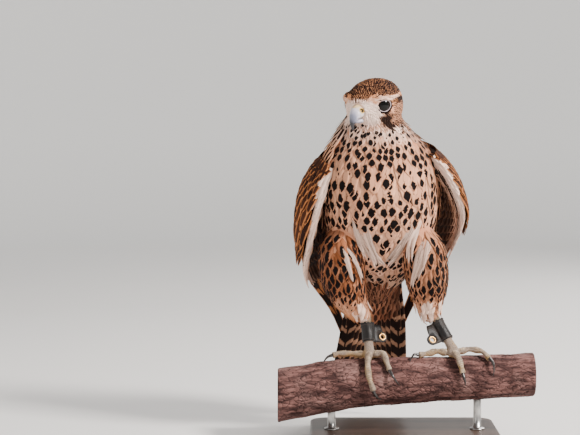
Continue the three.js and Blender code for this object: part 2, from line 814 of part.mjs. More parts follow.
// The leather anklet: a band round the shank whose ends meet in a flap with a brass eyelet.
function ankletFrame(side) {
  const foot = FEET[side];
  const low = perchPoint(foot.pad[0], foot.pad[1], foot.pad[2] + 3);
  const high = place(...foot.hock);
  const bottom = low.clone().lerp(high, ANKLET.low);
  const top = low.clone().lerp(high, ANKLET.high);
  const up = top.clone().sub(bottom).normalize();
  const out = V(side === "l" ? -0.72 : 0.62, side === "l" ? -0.25 : 0.3, 0);
  out.addScaledVector(up, -out.dot(up)).normalize();
  const across = V(0, 0, 0).crossVectors(up, out);
  const middle = bottom.clone().add(top).multiplyScalar(0.5);
  const frame = new THREE.Matrix4().makeBasis(out, across, up).setPosition(middle);
  return { frame, height: bottom.distanceTo(top) };
}

function anklet(side, grow = 0) {
  const { frame, height } = ankletFrame(side);
  const [r, t] = [ANKLET.radius, ANKLET.thick];
  const [low, high] = [-height / 2 - grow, height / 2 + grow];
  const profile = [
    [r - t, low],
    [r + grow, low],
    [r + 0.3 + grow, low + 1.2],
    [r + 0.1 + grow, 0],
    [r + 0.5 + grow, high - 1.2],
    [r + 1.2 + grow, high],
    [r - t + 0.4, high],
    [r - t, low],
  ].map(([x, z]) => new THREE.Vector2(x, z));
  const band = new THREE.LatheGeometry(profile, 14).rotateX(Math.PI / 2);
  const [reach, round] = [r + ANKLET.flap - 7, 7 + grow];
  const outline = new THREE.Shape();
  outline.moveTo(r - 1, low + 0.6);
  outline.lineTo(reach - 2, low + 0.2);
  outline.absarc(reach, low + round, round, -Math.PI / 2, Math.PI / 2);
  outline.lineTo(r - 1, high - 1.4);
  outline.closePath();
  const thick = 2.4 + 2 * grow;
  const flap = new THREE.ExtrudeGeometry(outline, { depth: thick, bevelEnabled: false, curveSegments: 6 });
  flap.translate(0, 0, -thick / 2).rotateX(Math.PI / 2);
  return joined([solid(band), solid(flap)]).transform([...frame.elements]);
}

// Puts a round form, made about +Y, where the flap's eyelet sits.
function inFlap(side, geometry) {
  const { frame, height } = ankletFrame(side);
  geometry.translate(ANKLET.radius + ANKLET.flap - 7, 0, -height / 2 + 7);
  return solid(geometry).transform([...frame.elements]);
}

// A brass eyelet: a tube through the leather with a rolled rim on each face.
function grommet(side, grow = 0) {
  const r = ANKLET.grommet;
  const profile = [
    [r - 1.7 - grow, -1.9 - grow],
    [r + grow, -1.9 - grow],
    [r + 0.1 + grow, -1.5],
    [r - 0.7, -1.5],
    [r - 0.7, 1.5],
    [r + 0.1 + grow, 1.5],
    [r + grow, 1.9 + grow],
    [r - 1.7 - grow, 1.9 + grow],
  ].map(([x, z]) => new THREE.Vector2(x, z));
  return inFlap(side, new THREE.LatheGeometry([...profile, profile[0]], 12));
}

// The opening through the flap that the eyelet sits in.
function grommetHole(side) {
  const radius = ANKLET.grommet - 0.7 + GAP;
  return inFlap(side, new THREE.CylinderGeometry(radius, radius, 12, 12));
}

// Putting it together

const FINISH = {
  plumage: new THREE.MeshStandardMaterial({ color: 0xc9a386, roughness: 0.9, metalness: 0 }),
  wing: new THREE.MeshStandardMaterial({ color: 0x5a3322, roughness: 0.85, metalness: 0 }),
  tail: new THREE.MeshStandardMaterial({ color: 0x6e4a36, roughness: 0.85, metalness: 0 }),
  bill: new THREE.MeshStandardMaterial({ color: 0x8e93a6, roughness: 0.35, metalness: 0 }),
  cere: new THREE.MeshStandardMaterial({ color: 0xd9b36a, roughness: 0.5, metalness: 0 }),
  eye: new THREE.MeshStandardMaterial({ color: 0x090605, roughness: 0.08, metalness: 0 }),
  skin: new THREE.MeshStandardMaterial({ color: 0xc9ae86, roughness: 0.6, metalness: 0 }),
  claw: new THREE.MeshStandardMaterial({ color: 0x14110f, roughness: 0.35, metalness: 0 }),
  leather: new THREE.MeshStandardMaterial({ color: 0x17120f, roughness: 0.55, metalness: 0 }),
  brass: new THREE.MeshStandardMaterial({ color: 0xb5792e, roughness: 0.35, metalness: 1 }),
  bark: new THREE.MeshStandardMaterial({ color: 0x7a4a42, roughness: 0.95, metalness: 0 }),
  base: new THREE.MeshStandardMaterial({ color: 0x2c2421, roughness: 0.5, metalness: 0 }),
  rod: new THREE.MeshStandardMaterial({ color: 0x6c6a68, roughness: 0.4, metalness: 1 }),
};

const falcon = new THREE.Group();
function add(name, made, finish) {
  const mesh = new THREE.Mesh(geometryOf(made), FINISH[finish]);
  mesh.name = name;
  falcon.add(mesh);
}

const wholeBody = column(BODY, 24, 16);
const bodyOver = column(BODY, 24, 16, GAP);
const slabAt = (z, thick) =>
  solid(new THREE.BoxGeometry(600, 600, thick).translate(0, 0, PERCH_HEIGHT + z));
const overNeck = slabAt(NECK_CUT + 200, 400 - GAP);
const underNeck = slabAt(NECK_CUT - 200, 400 - GAP);
const skullOver = skull(GAP);
const eyesOver = joined(SIDES.map((side) => eyeball(side, GAP)));
const billOver = upperBill(GAP);
const under = belowMouth();

// The half of the head's space in front of a place, given forward from the head's middle.
function beyond(forward) {
  const box = new THREE.BoxGeometry(40, 60, 60).translate(forward + 20, 0, 0);
  return solid(box.applyMatrix4(headFrame));
}

function addHead() {
  const full = joined([skull(), ...SIDES.map(lidRing), ...SIDES.map((side) => brow(side))]);
  add("head", full.subtract(eyesOver).subtract(billOver).subtract(mouthCut()), "plumage");
  const upper = upperBill().subtract(under).subtract(mouthCut());
  const nostrils = joined(SIDES.map(nostril));
  add("cere", upper.subtract(beyond(CERE_END - GAP)).subtract(nostrils), "cere");
  add("bill_upper", upper.intersect(beyond(CERE_END)), "bill");
  const headOver = skullOver.add(billOver.subtract(under));
  add("bill_lower", lowerBill().subtract(headOver).subtract(mouthCut()), "bill");
  add("eye_l", eyeball(1), "eye");
  add("eye_r", eyeball(-1), "eye");
}

function addBody() {
  const face = joined([skullOver, billOver, lowerBill(GAP), ...SIDES.map((side) => brow(side, GAP))]);
  add("neck", wholeBody.intersect(overNeck).subtract(face), "plumage");
  add("torso", wholeBody.intersect(underNeck), "plumage");
  ["r", "l"].forEach((side) => add(`wing_${side}`, wing(side).subtract(bodyOver), "wing"));
  add("tail", tail().subtract(bodyOver), "tail");
}

function addLeg(side) {
  const perchOver = perch(GAP);
  const shankOver = shank(side, 1.6 * GAP);
  const trousers = joined([thigh(side), ...flags(side)]);
  const legRoom = joined([bodyOver, shankOver, anklet(side, GAP), grommet(side, GAP)]);
  add(`thigh_${side}`, trousers.subtract(legRoom), "plumage");
  add(`shank_${side}`, shank(side).subtract(perchOver), "skin");
  add(`foot_${side}`, footPad(side).subtract(shankOver).subtract(perchOver), "skin");
  let taken = joined([footPad(side, GAP), shankOver, perchOver]);
  Object.keys(FEET[side].toes).forEach((name) => {
    const toeOver = toe(side, name, GAP);
    add(`toe_${side}_${name}`, toe(side, name).subtract(taken), "skin");
    add(`claw_${side}_${name}`, claw(side, name).subtract(toeOver).subtract(taken), "claw");
    taken = joined([taken, toeOver]);
  });
  const band = anklet(side).subtract(shankOver).subtract(grommetHole(side));
  add(`anklet_${side}`, band, "leather");
  add(`grommet_${side}`, grommet(side), "brass");
}

function addStand() {
  const rods = { r: standRod(-1), l: standRod(1) };
  const holes = joined([standRod(-1, GAP), standRod(1, GAP)]);
  add("perch", perch().subtract(holes), "bark");
  add("stand_base", standBase().subtract(holes), "base");
  Object.entries(rods).forEach(([side, rod]) => add(`stand_rod_${side}`, rod, "rod"));
}

addHead();
addBody();
addLeg("r");
addLeg("l");
addStand();

export default falcon;
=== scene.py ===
"""A life-size spotted falcon on a cut log and a plain stand, dressed for display."""
import math

import bmesh
import bpy
import numpy as np
from bpy.props import FloatProperty, FloatVectorProperty, IntProperty, PointerProperty
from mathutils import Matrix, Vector
from mathutils.bvhtree import BVHTree


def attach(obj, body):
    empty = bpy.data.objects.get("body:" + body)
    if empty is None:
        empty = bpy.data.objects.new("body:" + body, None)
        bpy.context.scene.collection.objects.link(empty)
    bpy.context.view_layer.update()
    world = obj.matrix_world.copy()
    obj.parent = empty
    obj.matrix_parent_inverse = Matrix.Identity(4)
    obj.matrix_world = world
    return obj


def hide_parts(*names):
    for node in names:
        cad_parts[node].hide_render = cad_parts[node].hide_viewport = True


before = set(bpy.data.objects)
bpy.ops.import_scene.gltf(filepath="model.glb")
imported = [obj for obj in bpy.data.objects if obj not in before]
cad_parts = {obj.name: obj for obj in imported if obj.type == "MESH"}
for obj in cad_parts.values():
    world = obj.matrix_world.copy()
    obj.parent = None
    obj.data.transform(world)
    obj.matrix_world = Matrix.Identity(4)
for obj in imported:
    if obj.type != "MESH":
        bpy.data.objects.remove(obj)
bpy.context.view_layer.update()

bl_info = {
    "name": "Display Falcon",
    "version": (1, 0, 0),
    "blender": (4, 5, 0),
    "location": "3D View > Sidebar > Falcon",
    "description": "Dresses a life-size falcon in feathers, with its log and stand",
    "category": "Object",
}

MM = 0.001
SEED = 7

# The bird's own middle at its standing level, seen from the middle of the base's underside, in millimetres.
BIRD = np.array([-32.0, -8.0, 108.0])
HEAD = {"at": (-8.5, -12, 313), "turn": 38, "pitch": 12}
EYE = {"forward": 15, "side": 24.5, "up": 4, "radius": 9.4, "toe": 38}

# The body from the vent to under the head: height, middle x and y, half width, depth to the front and back.
BODY = [
    (60, 0, 68, 9, 8, 8),
    (70, 0, 63, 20, 17, 18),
    (90, -1, 53, 37, 34, 34),
    (115, -1, 39, 56, 51, 46),
    (145, 0, 25, 68, 63, 53),
    (175, 1, 14, 73, 70, 57),
    (205, 0, 6, 75, 71, 57),
    (235, -1, 2, 74, 63, 55),
    (255, -2, 0, 68, 53, 49),
    (270, -4, -2, 57, 45, 44),
    (285, -8, -4, 45, 37, 39),
    (298, -9, -3, 37, 29, 36),
    (308, -9, -2, 27, 19, 28),
]
THIGH = {
    "r": [
        (41, -18, 14.5, 8.5, 8.5, 10),
        (48, -24, 13.5, 14, 14, 18),
        (60, -34, 10, 21, 24, 25),
        (85, -44, 4, 28, 33, 33),
        (114, -48, -2, 30, 37, 36),
        (140, -48, -6, 28, 34, 34),
        (162, -44, -8, 18, 20, 24),
    ],
    "l": [
        (42, 66, 14.5, 8.5, 8.5, 10),
        (49, 64, 13.5, 12.5, 12.5, 17),
        (62, 62, 10, 18, 21, 24),
        (85, 60, 3, 26, 31, 32),
        (114, 57, -2, 29, 36, 36),
        (140, 52, -6, 28, 34, 34),
        (162, 46, -8, 18, 20, 24),
    ],
}
# The folded wings' leading and upper edges, from the bend of the wing to its tip.
WING = {
    "r": {
        "out": -1,
        "bulge": 46,
        "lead": [
            (-62, -34, 236), (-76, -30, 190), (-88, -8, 138), (-93, 30, 95), (-68, 88, 44), (-36, 154, -24),
        ],
        "top": [
            (-50, 20, 262), (-50, 54, 218), (-46, 74, 168), (-42, 94, 118), (-36, 120, 62), (-30, 158, -18),
        ],
    },
    "l": {
        "out": 1,
        "bulge": 26,
        "lead": [
            (66, -28, 252), (89, -24, 216), (104, -4, 176), (96, 34, 134), (64, 92, 68), (26, 156, -20),
        ],
        "top": [
            (46, 26, 268), (50, 56, 228), (46, 76, 180), (42, 96, 130), (34, 122, 72), (20, 160, -14),
        ],
    },
}
TAIL = {"root": (0, 60, 88), "tip": (-9, 176, -86), "base": 25, "spread": 45, "length": 206}

# The log, station by station along X: height of its middle below the bird's standing level, and radius.
PERCH = [
    (-128, -51, 34.5),
    (-101, -47, 34.5),
    (-59, -39.5, 33),
    (-6, -34.5, 31),
    (71, -31, 29),
    (186, -26.5, 28),
    (194, -26, 28),
]
# Toes and claws as points on the log: x, degrees forward of its top, and lift of the middle.
FEET = {
    "r": {
        "pad": (-13, 6, 6),
        "hock": (-16, 15, 50),
        "toes": {
            "hallux": [(-12, -14, 5), (-13, -38, 4.6), (-14, -58, 4.4)],
            "inner": [(-6, 14, 6.4), (3, 18, 8.2), (8, 40, 5.2), (11, 58, 4.8)],
            "middle": [(-14, 18, 7), (-16, 44, 6), (-14, 74, 5.6), (-9, 99, 4.8)],
            "outer": [(-22, 4, 6.6), (-36, 0, 6.8), (-50, 0, 8), (-59, 4, 7.4)],
        },
        "claws": {
            "hallux": [(-14, -74, 6.5), (-14, -88, 2.8), (-14, -96, 0.9)],
            "inner": [(15, 72, 7.2), (20, 84, 5.2), (24, 94, 1)],
            "middle": [(-5, 113, 6), (-1, 122, 3.6), (2, 128, 0.9)],
            "outer": [(-65, 8, 6.4), (-69, 14, 3.6), (-70.5, 19, 0.9)],
        },
    },
    "l": {
        "pad": (92, 10, 6),
        "hock": (66, 15, 53),
        "toes": {
            "hallux": [(93, -14, 5), (95, -38, 4.6), (96, -58, 4.4)],
            "inner": [(83, 10, 6.4), (71, 8, 7.4), (60, 10, 5.4), (49, 14, 4.8)],
            "middle": [(94, 24, 7.4), (97, 38, 9), (100, 56, 6.6), (102, 70, 5)],
            "outer": [(101, 10, 6.8), (113, 6, 8.2), (127, 12, 7.4), (136, 36, 5.2)],
        },
        "claws": {
            "hallux": [(96, -74, 6.5), (97, -88, 2.8), (97, -96, 0.9)],
            "inner": [(43, 18, 6.2), (39, 26, 3.4), (37, 34, 0.9)],
            "middle": [(104, 84, 6.2), (105, 94, 3.4), (105, 101, 0.9)],
            "outer": [(140, 52, 7.4), (141, 66, 4.6), (140, 78, 0.9)],
        },
    },
}
TOE_RADIUS = {"hallux": 4.6, "inner": 4.6, "middle": 4.9, "outer": 4.3}

# The plumage's colours: a name, what it colours, and its value.
DYES = {
    "cream": ("Cream", "Ground of the breast", (0.74, 0.385, 0.235)),
    "white": ("White", "Throat, trousers and the wings' front band", (0.88, 0.66, 0.56)),
    "peach": ("Peach", "Warm patches on the breast", (0.42, 0.135, 0.065)),
    "buff": ("Buff", "Edges of the back and wing feathers", (0.56, 0.21, 0.075)),
    "rufous": ("Rufous", "Edges of the wings' feathers and the loose ones", (0.24, 0.075, 0.028)),
    "brown": ("Brown", "Ground of the flight and tail feathers", (0.045, 0.019, 0.012)),
    "umber": ("Umber", "Deepest brown of the back", (0.013, 0.006, 0.005)),
    "spot": ("Spot", "Drops on the breast", (0.005, 0.003, 0.003)),
}
# The lamps: name, place from the view's target, size, power in watts and colour.
LIGHTS = [
    ("key", (1.7, -1.1, 1.35), (0.5, 0.5), 140, (1.0, 0.95, 0.9)),
    ("side", (-1.7, -0.6, 0.9), (0.7, 1.2), 12, (1.0, 0.93, 0.88)),
    ("top", (0.1, 0.4, 2.2), (1.8, 1.4), 26, (1.0, 0.98, 0.97)),
    ("back", (1.3, 1.6, 1.0), (0.8, 1.2), 30, (1.0, 0.95, 0.93)),
]


# Numbers and curves


def place(points):
    """Millimetres from the bird's own middle to metres in the frame."""
    return (np.asarray(points, dtype=float) + BIRD) * MM


def circle(count):
    """Angles evenly round a circle."""
    return 2 * math.pi * np.arange(count) / count


def level(turn):
    """The level direction at an angle."""
    return np.array([math.cos(turn), math.sin(turn), 0.0])


def unit(v):
    v = np.asarray(v, dtype=float)
    return v / np.maximum(np.linalg.norm(v, axis=-1, keepdims=True), 1e-12)


def mix(a, b, t):
    return a + (b - a) * t


def smooth(t, low=0.0, high=1.0):
    t = np.clip((t - low) / (high - low), 0, 1)
    return t * t * (3 - 2 * t)


def along(rows, s):
    """The numbers of a table at s, by cubic interpolation on its first column."""
    i = next((k for k, row in enumerate(rows) if row[0] >= s), len(rows) - 1)
    i = max(1, i)
    p, q = np.array(rows[i - 1], float), np.array(rows[i], float)
    before = np.array(rows[max(0, i - 2)], float)
    after = np.array(rows[min(len(rows) - 1, i + 1)], float)
    span = q[0] - p[0]
    t = min(1.0, max(0.0, (s - p[0]) / span))
    a = (q - before) / (q[0] - before[0]) * span
    b = (after - p) / (after[0] - p[0]) * span
    t2, t3 = t * t, t * t * t
    row = p * (2 * t3 - 3 * t2 + 1) + a * (t3 - 2 * t2 + t) + q * (3 * t2 - 2 * t3) + b * (t3 - t2)
    return row[1:]


class Path:
    """A smooth curve through points, its parameter even from point to point."""

    def __init__(self, points):
        self.points = np.asarray(points, dtype=float)

    def at(self, t):
        p = self.points
        last = len(p) - 1
        s = min(max(t, 0.0), 1.0) * last
        i = min(int(s), last - 1)
        w = s - i
        b, c = p[i], p[i + 1]
        a = p[i - 1] if i > 0 else 2 * b - c
        d = p[i + 2] if i + 2 <= last else 2 * c - b
        k0, k1, k2 = (math.sqrt(max(np.linalg.norm(v), 1e-9)) for v in (b - a, c - b, d - c))
        m1 = ((b - a) / k0 - (c - a) / (k0 + k1) + (c - b) / k1) * k1
        m2 = ((c - b) / k1 - (d - b) / (k1 + k2) + (d - c) / k2) * k1
        return b + m1 * w + (3 * (c - b) - 2 * m1 - m2) * w**2 + (2 * (b - c) + m1 + m2) * w**3

    def way(self, t):
        step = 1e-3
        return unit(self.at(min(1, t + step)) - self.at(max(0, t - step)))


def rings_along(path, radius, sides, steps):
    """Rings of points round a path. radius(t, angle) is in the path's units."""
    rings = []
    side = None
    for i in range(steps + 1):
        t = i / steps
        middle, way = path.at(t), path.way(t)
        if side is None:
            side = np.cross(way, (1, 0, 0) if abs(way[2]) > 0.8 else (0, 0, 1))
        side = unit(side - way * side.dot(way))
        up = np.cross(side, way)
        angles = circle(sides)
        reach = np.array([radius(t, a) for a in angles])
        across, over = reach * np.cos(angles), reach * np.sin(angles)
        rings.append(middle + side * across[:, None] + up * over[:, None])
    return np.array(rings)


# Meshes


def mesh_from(name, verts, faces):
    mesh = bpy.data.meshes.new(name)
    mesh.from_pydata([tuple(v) for v in verts], [], [tuple(int(k) for k in f) for f in faces])
    mesh.validate()
    return mesh


def ring_faces(count, sides):
    """Faces between neighbouring rings."""
    corners = [(i * sides + k, i * sides + (k + 1) % sides) for i in range(count - 1) for k in range(sides)]
    return [(a, b, b + sides, a + sides) for a, b in corners]


def lofted(rings):
    """Vertices and faces of a closed skin through rings of equally many points."""
    count, sides = rings.shape[:2]
    verts = [v for ring in rings for v in ring]
    faces = ring_faces(count, sides)
    for i, order in ((0, -1), (count - 1, 1)):
        tip = len(verts)
        verts.append(rings[i].mean(axis=0))
        for k in range(sides):
            a, b = i * sides + k, i * sides + (k + 1) % sides
            faces.append((tip, a, b)[::order])
    return verts, faces


def outward(mesh):
    """Makes a closed mesh's faces point out."""
    bm = bmesh.new()
    bm.from_mesh(mesh)
    bmesh.ops.remove_doubles(bm, verts=bm.verts, dist=1e-6)
    bmesh.ops.recalc_face_normals(bm, faces=bm.faces)
    bm.to_mesh(mesh)
    bm.free()
    return mesh


def together(name, parts):
    """One mesh from lists of vertices and faces."""
    verts, faces = [], []
    for part_verts, part_faces in parts:
        shift = len(verts)
        verts.extend(part_verts)
        faces.extend(tuple(k + shift for k in face) for face in part_faces)
    return mesh_from(name, verts, faces)


def closed(name, *parts):
    """One closed mesh from lists of vertices and faces, its faces pointing out."""
    return outward(together(name, parts))


def new_object(name, mesh, *materials):
    piece = bpy.data.objects.new(name, mesh)
    bpy.context.scene.collection.objects.link(piece)
    for material in materials:
        mesh.materials.append(material)
    mesh.shade_smooth()
    return piece


def frozen(piece):
    """Applies a piece's modifiers by taking its evaluated mesh."""
    graph = bpy.context.evaluated_depsgraph_get()
    mesh = bpy.data.meshes.new_from_object(piece.evaluated_get(graph))
    piece.modifiers.clear()
    old, piece.data = piece.data, mesh
    bpy.data.meshes.remove(old)
    mesh.shade_smooth()
    return piece


def evened(piece, grain, factor, rounds):
    """Makes one even skin of a piece's overlapping parts, and eases it."""
    remesh = piece.modifiers.new("even", "REMESH")
    remesh.mode = "VOXEL"
    remesh.voxel_size = grain * MM
    ease = piece.modifiers.new("ease", "SMOOTH")
    ease.factor = factor
    ease.iterations = rounds
    return frozen(piece)


def declare(piece, slot, *nodes):
    """Rides a finished piece on the one body and hides the solids that it stands for; its slot is not used.
    """
    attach(piece, "root")
    if nodes:
        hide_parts(*nodes)
    return piece


# Surfaces that feathers lie on


def column_rings(rows, sides, steps):
    low, high = rows[0][0], rows[-1][0]
    rings = []
    for i in range(steps + 1):
        z = mix(low, high, i / steps)
        x, y, width, front, back = along(rows, z)
        a = circle(sides)
        depth = np.where(np.sin(a) < 0, front, back)
        rings.append(np.stack([x + width * np.cos(a), y + depth * np.sin(a), np.full(sides, z)], 1))
    return place(np.array(rings))


def head_axes():
    turn, pitch = math.radians(HEAD["turn"]), math.radians(HEAD["pitch"])
    flat = np.array([-math.sin(turn), -math.cos(turn), 0])
    left = np.array([math.cos(turn), -math.sin(turn), 0])
    forward = flat * math.cos(pitch) + np.array([0, 0, -math.sin(pitch)])
    return np.stack([forward, left, np.cross(forward, left)])


HEAD_AXES = head_axes()


def in_head(points):
    """Millimetres forward, left and up in the head to metres in the frame."""
    return place(np.asarray(points, float) @ HEAD_AXES + np.array(HEAD["at"]))


def head_terms(points):
    """Metres in the frame to millimetres forward, left and up in the head."""
    return (np.asarray(points) / MM - BIRD - np.array(HEAD["at"])) @ HEAD_AXES.T


def eye_middle(side):
    return in_head((EYE["forward"], side * EYE["side"], EYE["up"]))


class Surface:
    """A mesh to lie feathers on: casts from an axis outward, and finds the nearest place."""

    def __init__(self, mesh):
        self.tree = BVHTree.FromPolygons(
            [v.co.copy() for v in mesh.vertices], [tuple(p.vertices) for p in mesh.polygons]
        )

    def cast(self, start, way, reach=0.2):
        """The outermost place that a ray from outside meets on its way in to start."""
        hit, normal, _, _ = self.tree.ray_cast(Vector(start + way * reach), Vector(-way), reach)
        return (None, None) if hit is None else (np.array(hit), np.array(normal))

    def nearest(self, point):
        hit, normal, _, _ = self.tree.find_nearest(Vector(point))
        return np.array(hit), np.array(normal)


def wing_sheet(side):
    """The folded wing's outer surface: u from the bend to the tip, v from the leading to the upper edge."""
    rows = WING[side]
    lead, top = Path(place(rows["lead"])), Path(place(rows["top"]))
    swell_way = unit((rows["out"] * 0.93, 0.36, 0.1))

    def flat(u, v):
        share = min(1.0, max(0.0, u))
        swell = rows["bulge"] * MM * (1 - 0.9 * share) * math.sin(math.pi * min(1, 0.15 + share))
        rise = swell * math.sin(math.pi * max(0.0, min(1.0, v)) ** 0.75)
        return mix(lead.at(share), top.at(share), v) + swell_way * rise

    def normal(u, v):
        step = 0.02
        du = flat(min(1, u + step), v) - flat(max(0, u - step), v)
        dv = flat(u, min(1, v + step)) - flat(u, max(0, v - step))
        n = unit(np.cross(du, dv))
        return -n if n[0] * rows["out"] < 0 else n

    return flat, normal


# Feathers


class Coat:
    """The feathers of one piece, gathered as arrays and made into one mesh.

    A feather is a closed vane with an arched top and bottom. Its map Vane runs across and along it, and
    its map OFBake holds a small patch at its root's place. Its attribute Feather holds mark, tint, tone
    and pale.
    """

    PATCH = 0.003

    def __init__(self, across, stations):
        self.across = across
        self.stations = stations
        self.rows = []

    def add(self, spine, normals, left, right, arch, thick, bake, facts):
        """spine and normals have one row per station; left and right are the half widths there."""
        self.rows.append((spine, normals, left, right, arch, thick, bake, facts))

    def mesh(self, name):
        columns = [np.array(column) for column in zip(*self.rows)]
        spine, normals, left, right, arch, thick, bake, facts = columns
        count, stations = left.shape

        way = np.gradient(spine, axis=1)
        across = unit(np.cross(way, normals))
        normals = unit(np.cross(across, way))

        top = np.linspace(-1, 1, self.across)
        u = np.concatenate([top, top[-2:0:-1]])
        face = np.concatenate([np.ones(self.across), -np.ones(self.across - 2)])
        ring = len(u)
        half = np.where(u[None, None] < 0, left[..., None], right[..., None])
        swell = np.sqrt(np.clip(1 - u**2, 0, 1)) * face * 0.5
        drop = -arch[:, None, None] * u[None, None] ** 2 * half
        rise = thick[:, None, None] * swell[None, None] + drop
        verts = (
            spine[:, :, None]
            + across[:, :, None] * (half * u)[..., None]
            + normals[:, :, None] * rise[..., None]
        )

        station = np.arange(stations - 1)[:, None]
        k = np.arange(ring)[None]
        a = station * ring + k
        b = station * ring + (k + 1) % ring
        quads = np.stack([a, b, b + ring, a + ring], -1).reshape(-1, 4)
        root = np.arange(ring)[::-1]
        tip = np.arange(ring) + (stations - 1) * ring
        corners = np.concatenate([quads.ravel(), root, tip])
        totals = np.concatenate([np.full(len(quads), 4), [ring, ring]])
        per = stations * ring
        loops = (corners[None] + per * np.arange(count)[:, None]).ravel()
        totals = np.tile(totals, count)
        starts = np.concatenate([[0], np.cumsum(totals)[:-1]])

        mesh = bpy.data.meshes.new(name)
        mesh.vertices.add(count * per)
        mesh.vertices.foreach_set("co", verts.astype(np.float32).ravel())
        mesh.loops.add(len(loops))
        mesh.loops.foreach_set("vertex_index", loops.astype(np.int32))
        mesh.polygons.add(len(totals))
        mesh.polygons.foreach_set("loop_start", starts.astype(np.int32))
        mesh.update(calc_edges=True)

        v = np.linspace(0, 1, stations)
        vane = np.stack(np.broadcast_arrays(u[None] * 0.5 + 0.5, v[:, None]), -1).reshape(1, per, 2)
        vane = np.broadcast_to(vane, (count, per, 2)).reshape(-1, 2)
        patch = np.repeat(bake, per, axis=0) + (vane - 0.5) * self.PATCH
        for title, where in (("OFBake", patch), ("Vane", vane)):
            layer = mesh.uv_layers.new(name=title)
            layer.uv.foreach_set("vector", where[loops].astype(np.float32).ravel())
        mesh.uv_layers["OFBake"].active_render = True
        layer = mesh.attributes.new("Feather", "FLOAT_COLOR", "POINT")
        layer.data.foreach_set("color", np.repeat(facts, per, axis=0).astype(np.float32).ravel())
        mesh.shade_smooth()
        return mesh

    def piece(self, name, kind, slot="plumage", *nodes):
        """The finished object, with the feather finish of a kind."""
        return declare(new_object(name, self.mesh(name), made[kind + "_finish"]), slot, *nodes)


def outline(stations, point, rng, ragged=0.0, root=0.4):
    """A vane's share of its full half width at each station, for its left and right edge."""
    t = np.linspace(0, 1, stations)
    base = mix(root, 1.0, smooth(t, 0, 0.4)) * np.clip(1 - t**point, 0, 1) ** 0.55
    base = np.maximum(base, 0.05)
    loose = 1 + ragged * (rng.random((2, stations)) - 0.5) * smooth(t, 0.3, 1)
    return base * loose[0], base * loose[1]


def lay(
    coat, surface, root, flow, length, width, rng,
    *, low, high, curl, ragged, point, bake, mark, tint, tone, pale=0.0, arch=0.22, thick=0.34,
):
    """Lays one feather on a surface, from its root along the flow. It rises from low to high millimetres."""
    stations = coat.stations
    step = length / (stations - 1)
    spine, normals = [], []
    place_at, normal = surface.nearest(root)
    t = np.linspace(0, 1, stations)
    for _ in range(stations):
        spine.append(place_at)
        normals.append(normal)
        way = flow(place_at)
        way = unit(way - normal * way.dot(normal))
        place_at, normal = surface.nearest(place_at + way * step)
    spine, normals = np.array(spine), np.array(normals)
    normals[1:-1] = unit(normals[:-2] + normals[1:-1] * 2 + normals[2:])
    rise = (low + (high - low) * t**0.8 + curl * t**3) * MM
    spine = spine + normals * rise[:, None]
    left, right = outline(stations, point, rng, ragged)
    facts = (mark, tint, tone, pale)
    coat.add(spine, normals, left * width / 2, right * width / 2, arch, thick * MM, bake, facts)


# Finishes


class Nodes:
    """A node tree built step by step. Values may be numbers, colours or other nodes' sockets."""

    def __init__(self, tree):
        self.tree = tree

    def put(self, value, socket):
        if isinstance(value, bpy.types.NodeSocket):
            self.tree.links.new(value, socket)
        elif hasattr(value, "__len__") and len(value) == 3 and len(socket.default_value) == 4:
            socket.default_value = (*value, 1.0)
        else:
            socket.default_value = value

    def node(self, kind, inputs=None, **settings):
        node = self.tree.nodes.new(kind)
        for title, value in settings.items():
            setattr(node, title, value)
        for title, value in (inputs or {}).items():
            self.put(value, node.inputs[title])
        return node

    def math(self, operation, *values, clamp=False):
        inputs = dict(enumerate(values))
        return self.node("ShaderNodeMath", inputs, operation=operation, use_clamp=clamp).outputs[0]

    def times(self, a, b):
        return self.math("MULTIPLY", a, b)

    def reach(self, a, b):
        return self.math("SQRT", self.math("ADD", self.math("POWER", a, 2.0), self.math("POWER", b, 2.0)))

    def scaled(self, value, factor, more, clamp=False):
        """value times factor, and more."""
        return self.math("MULTIPLY_ADD", value, factor, more, clamp=clamp)


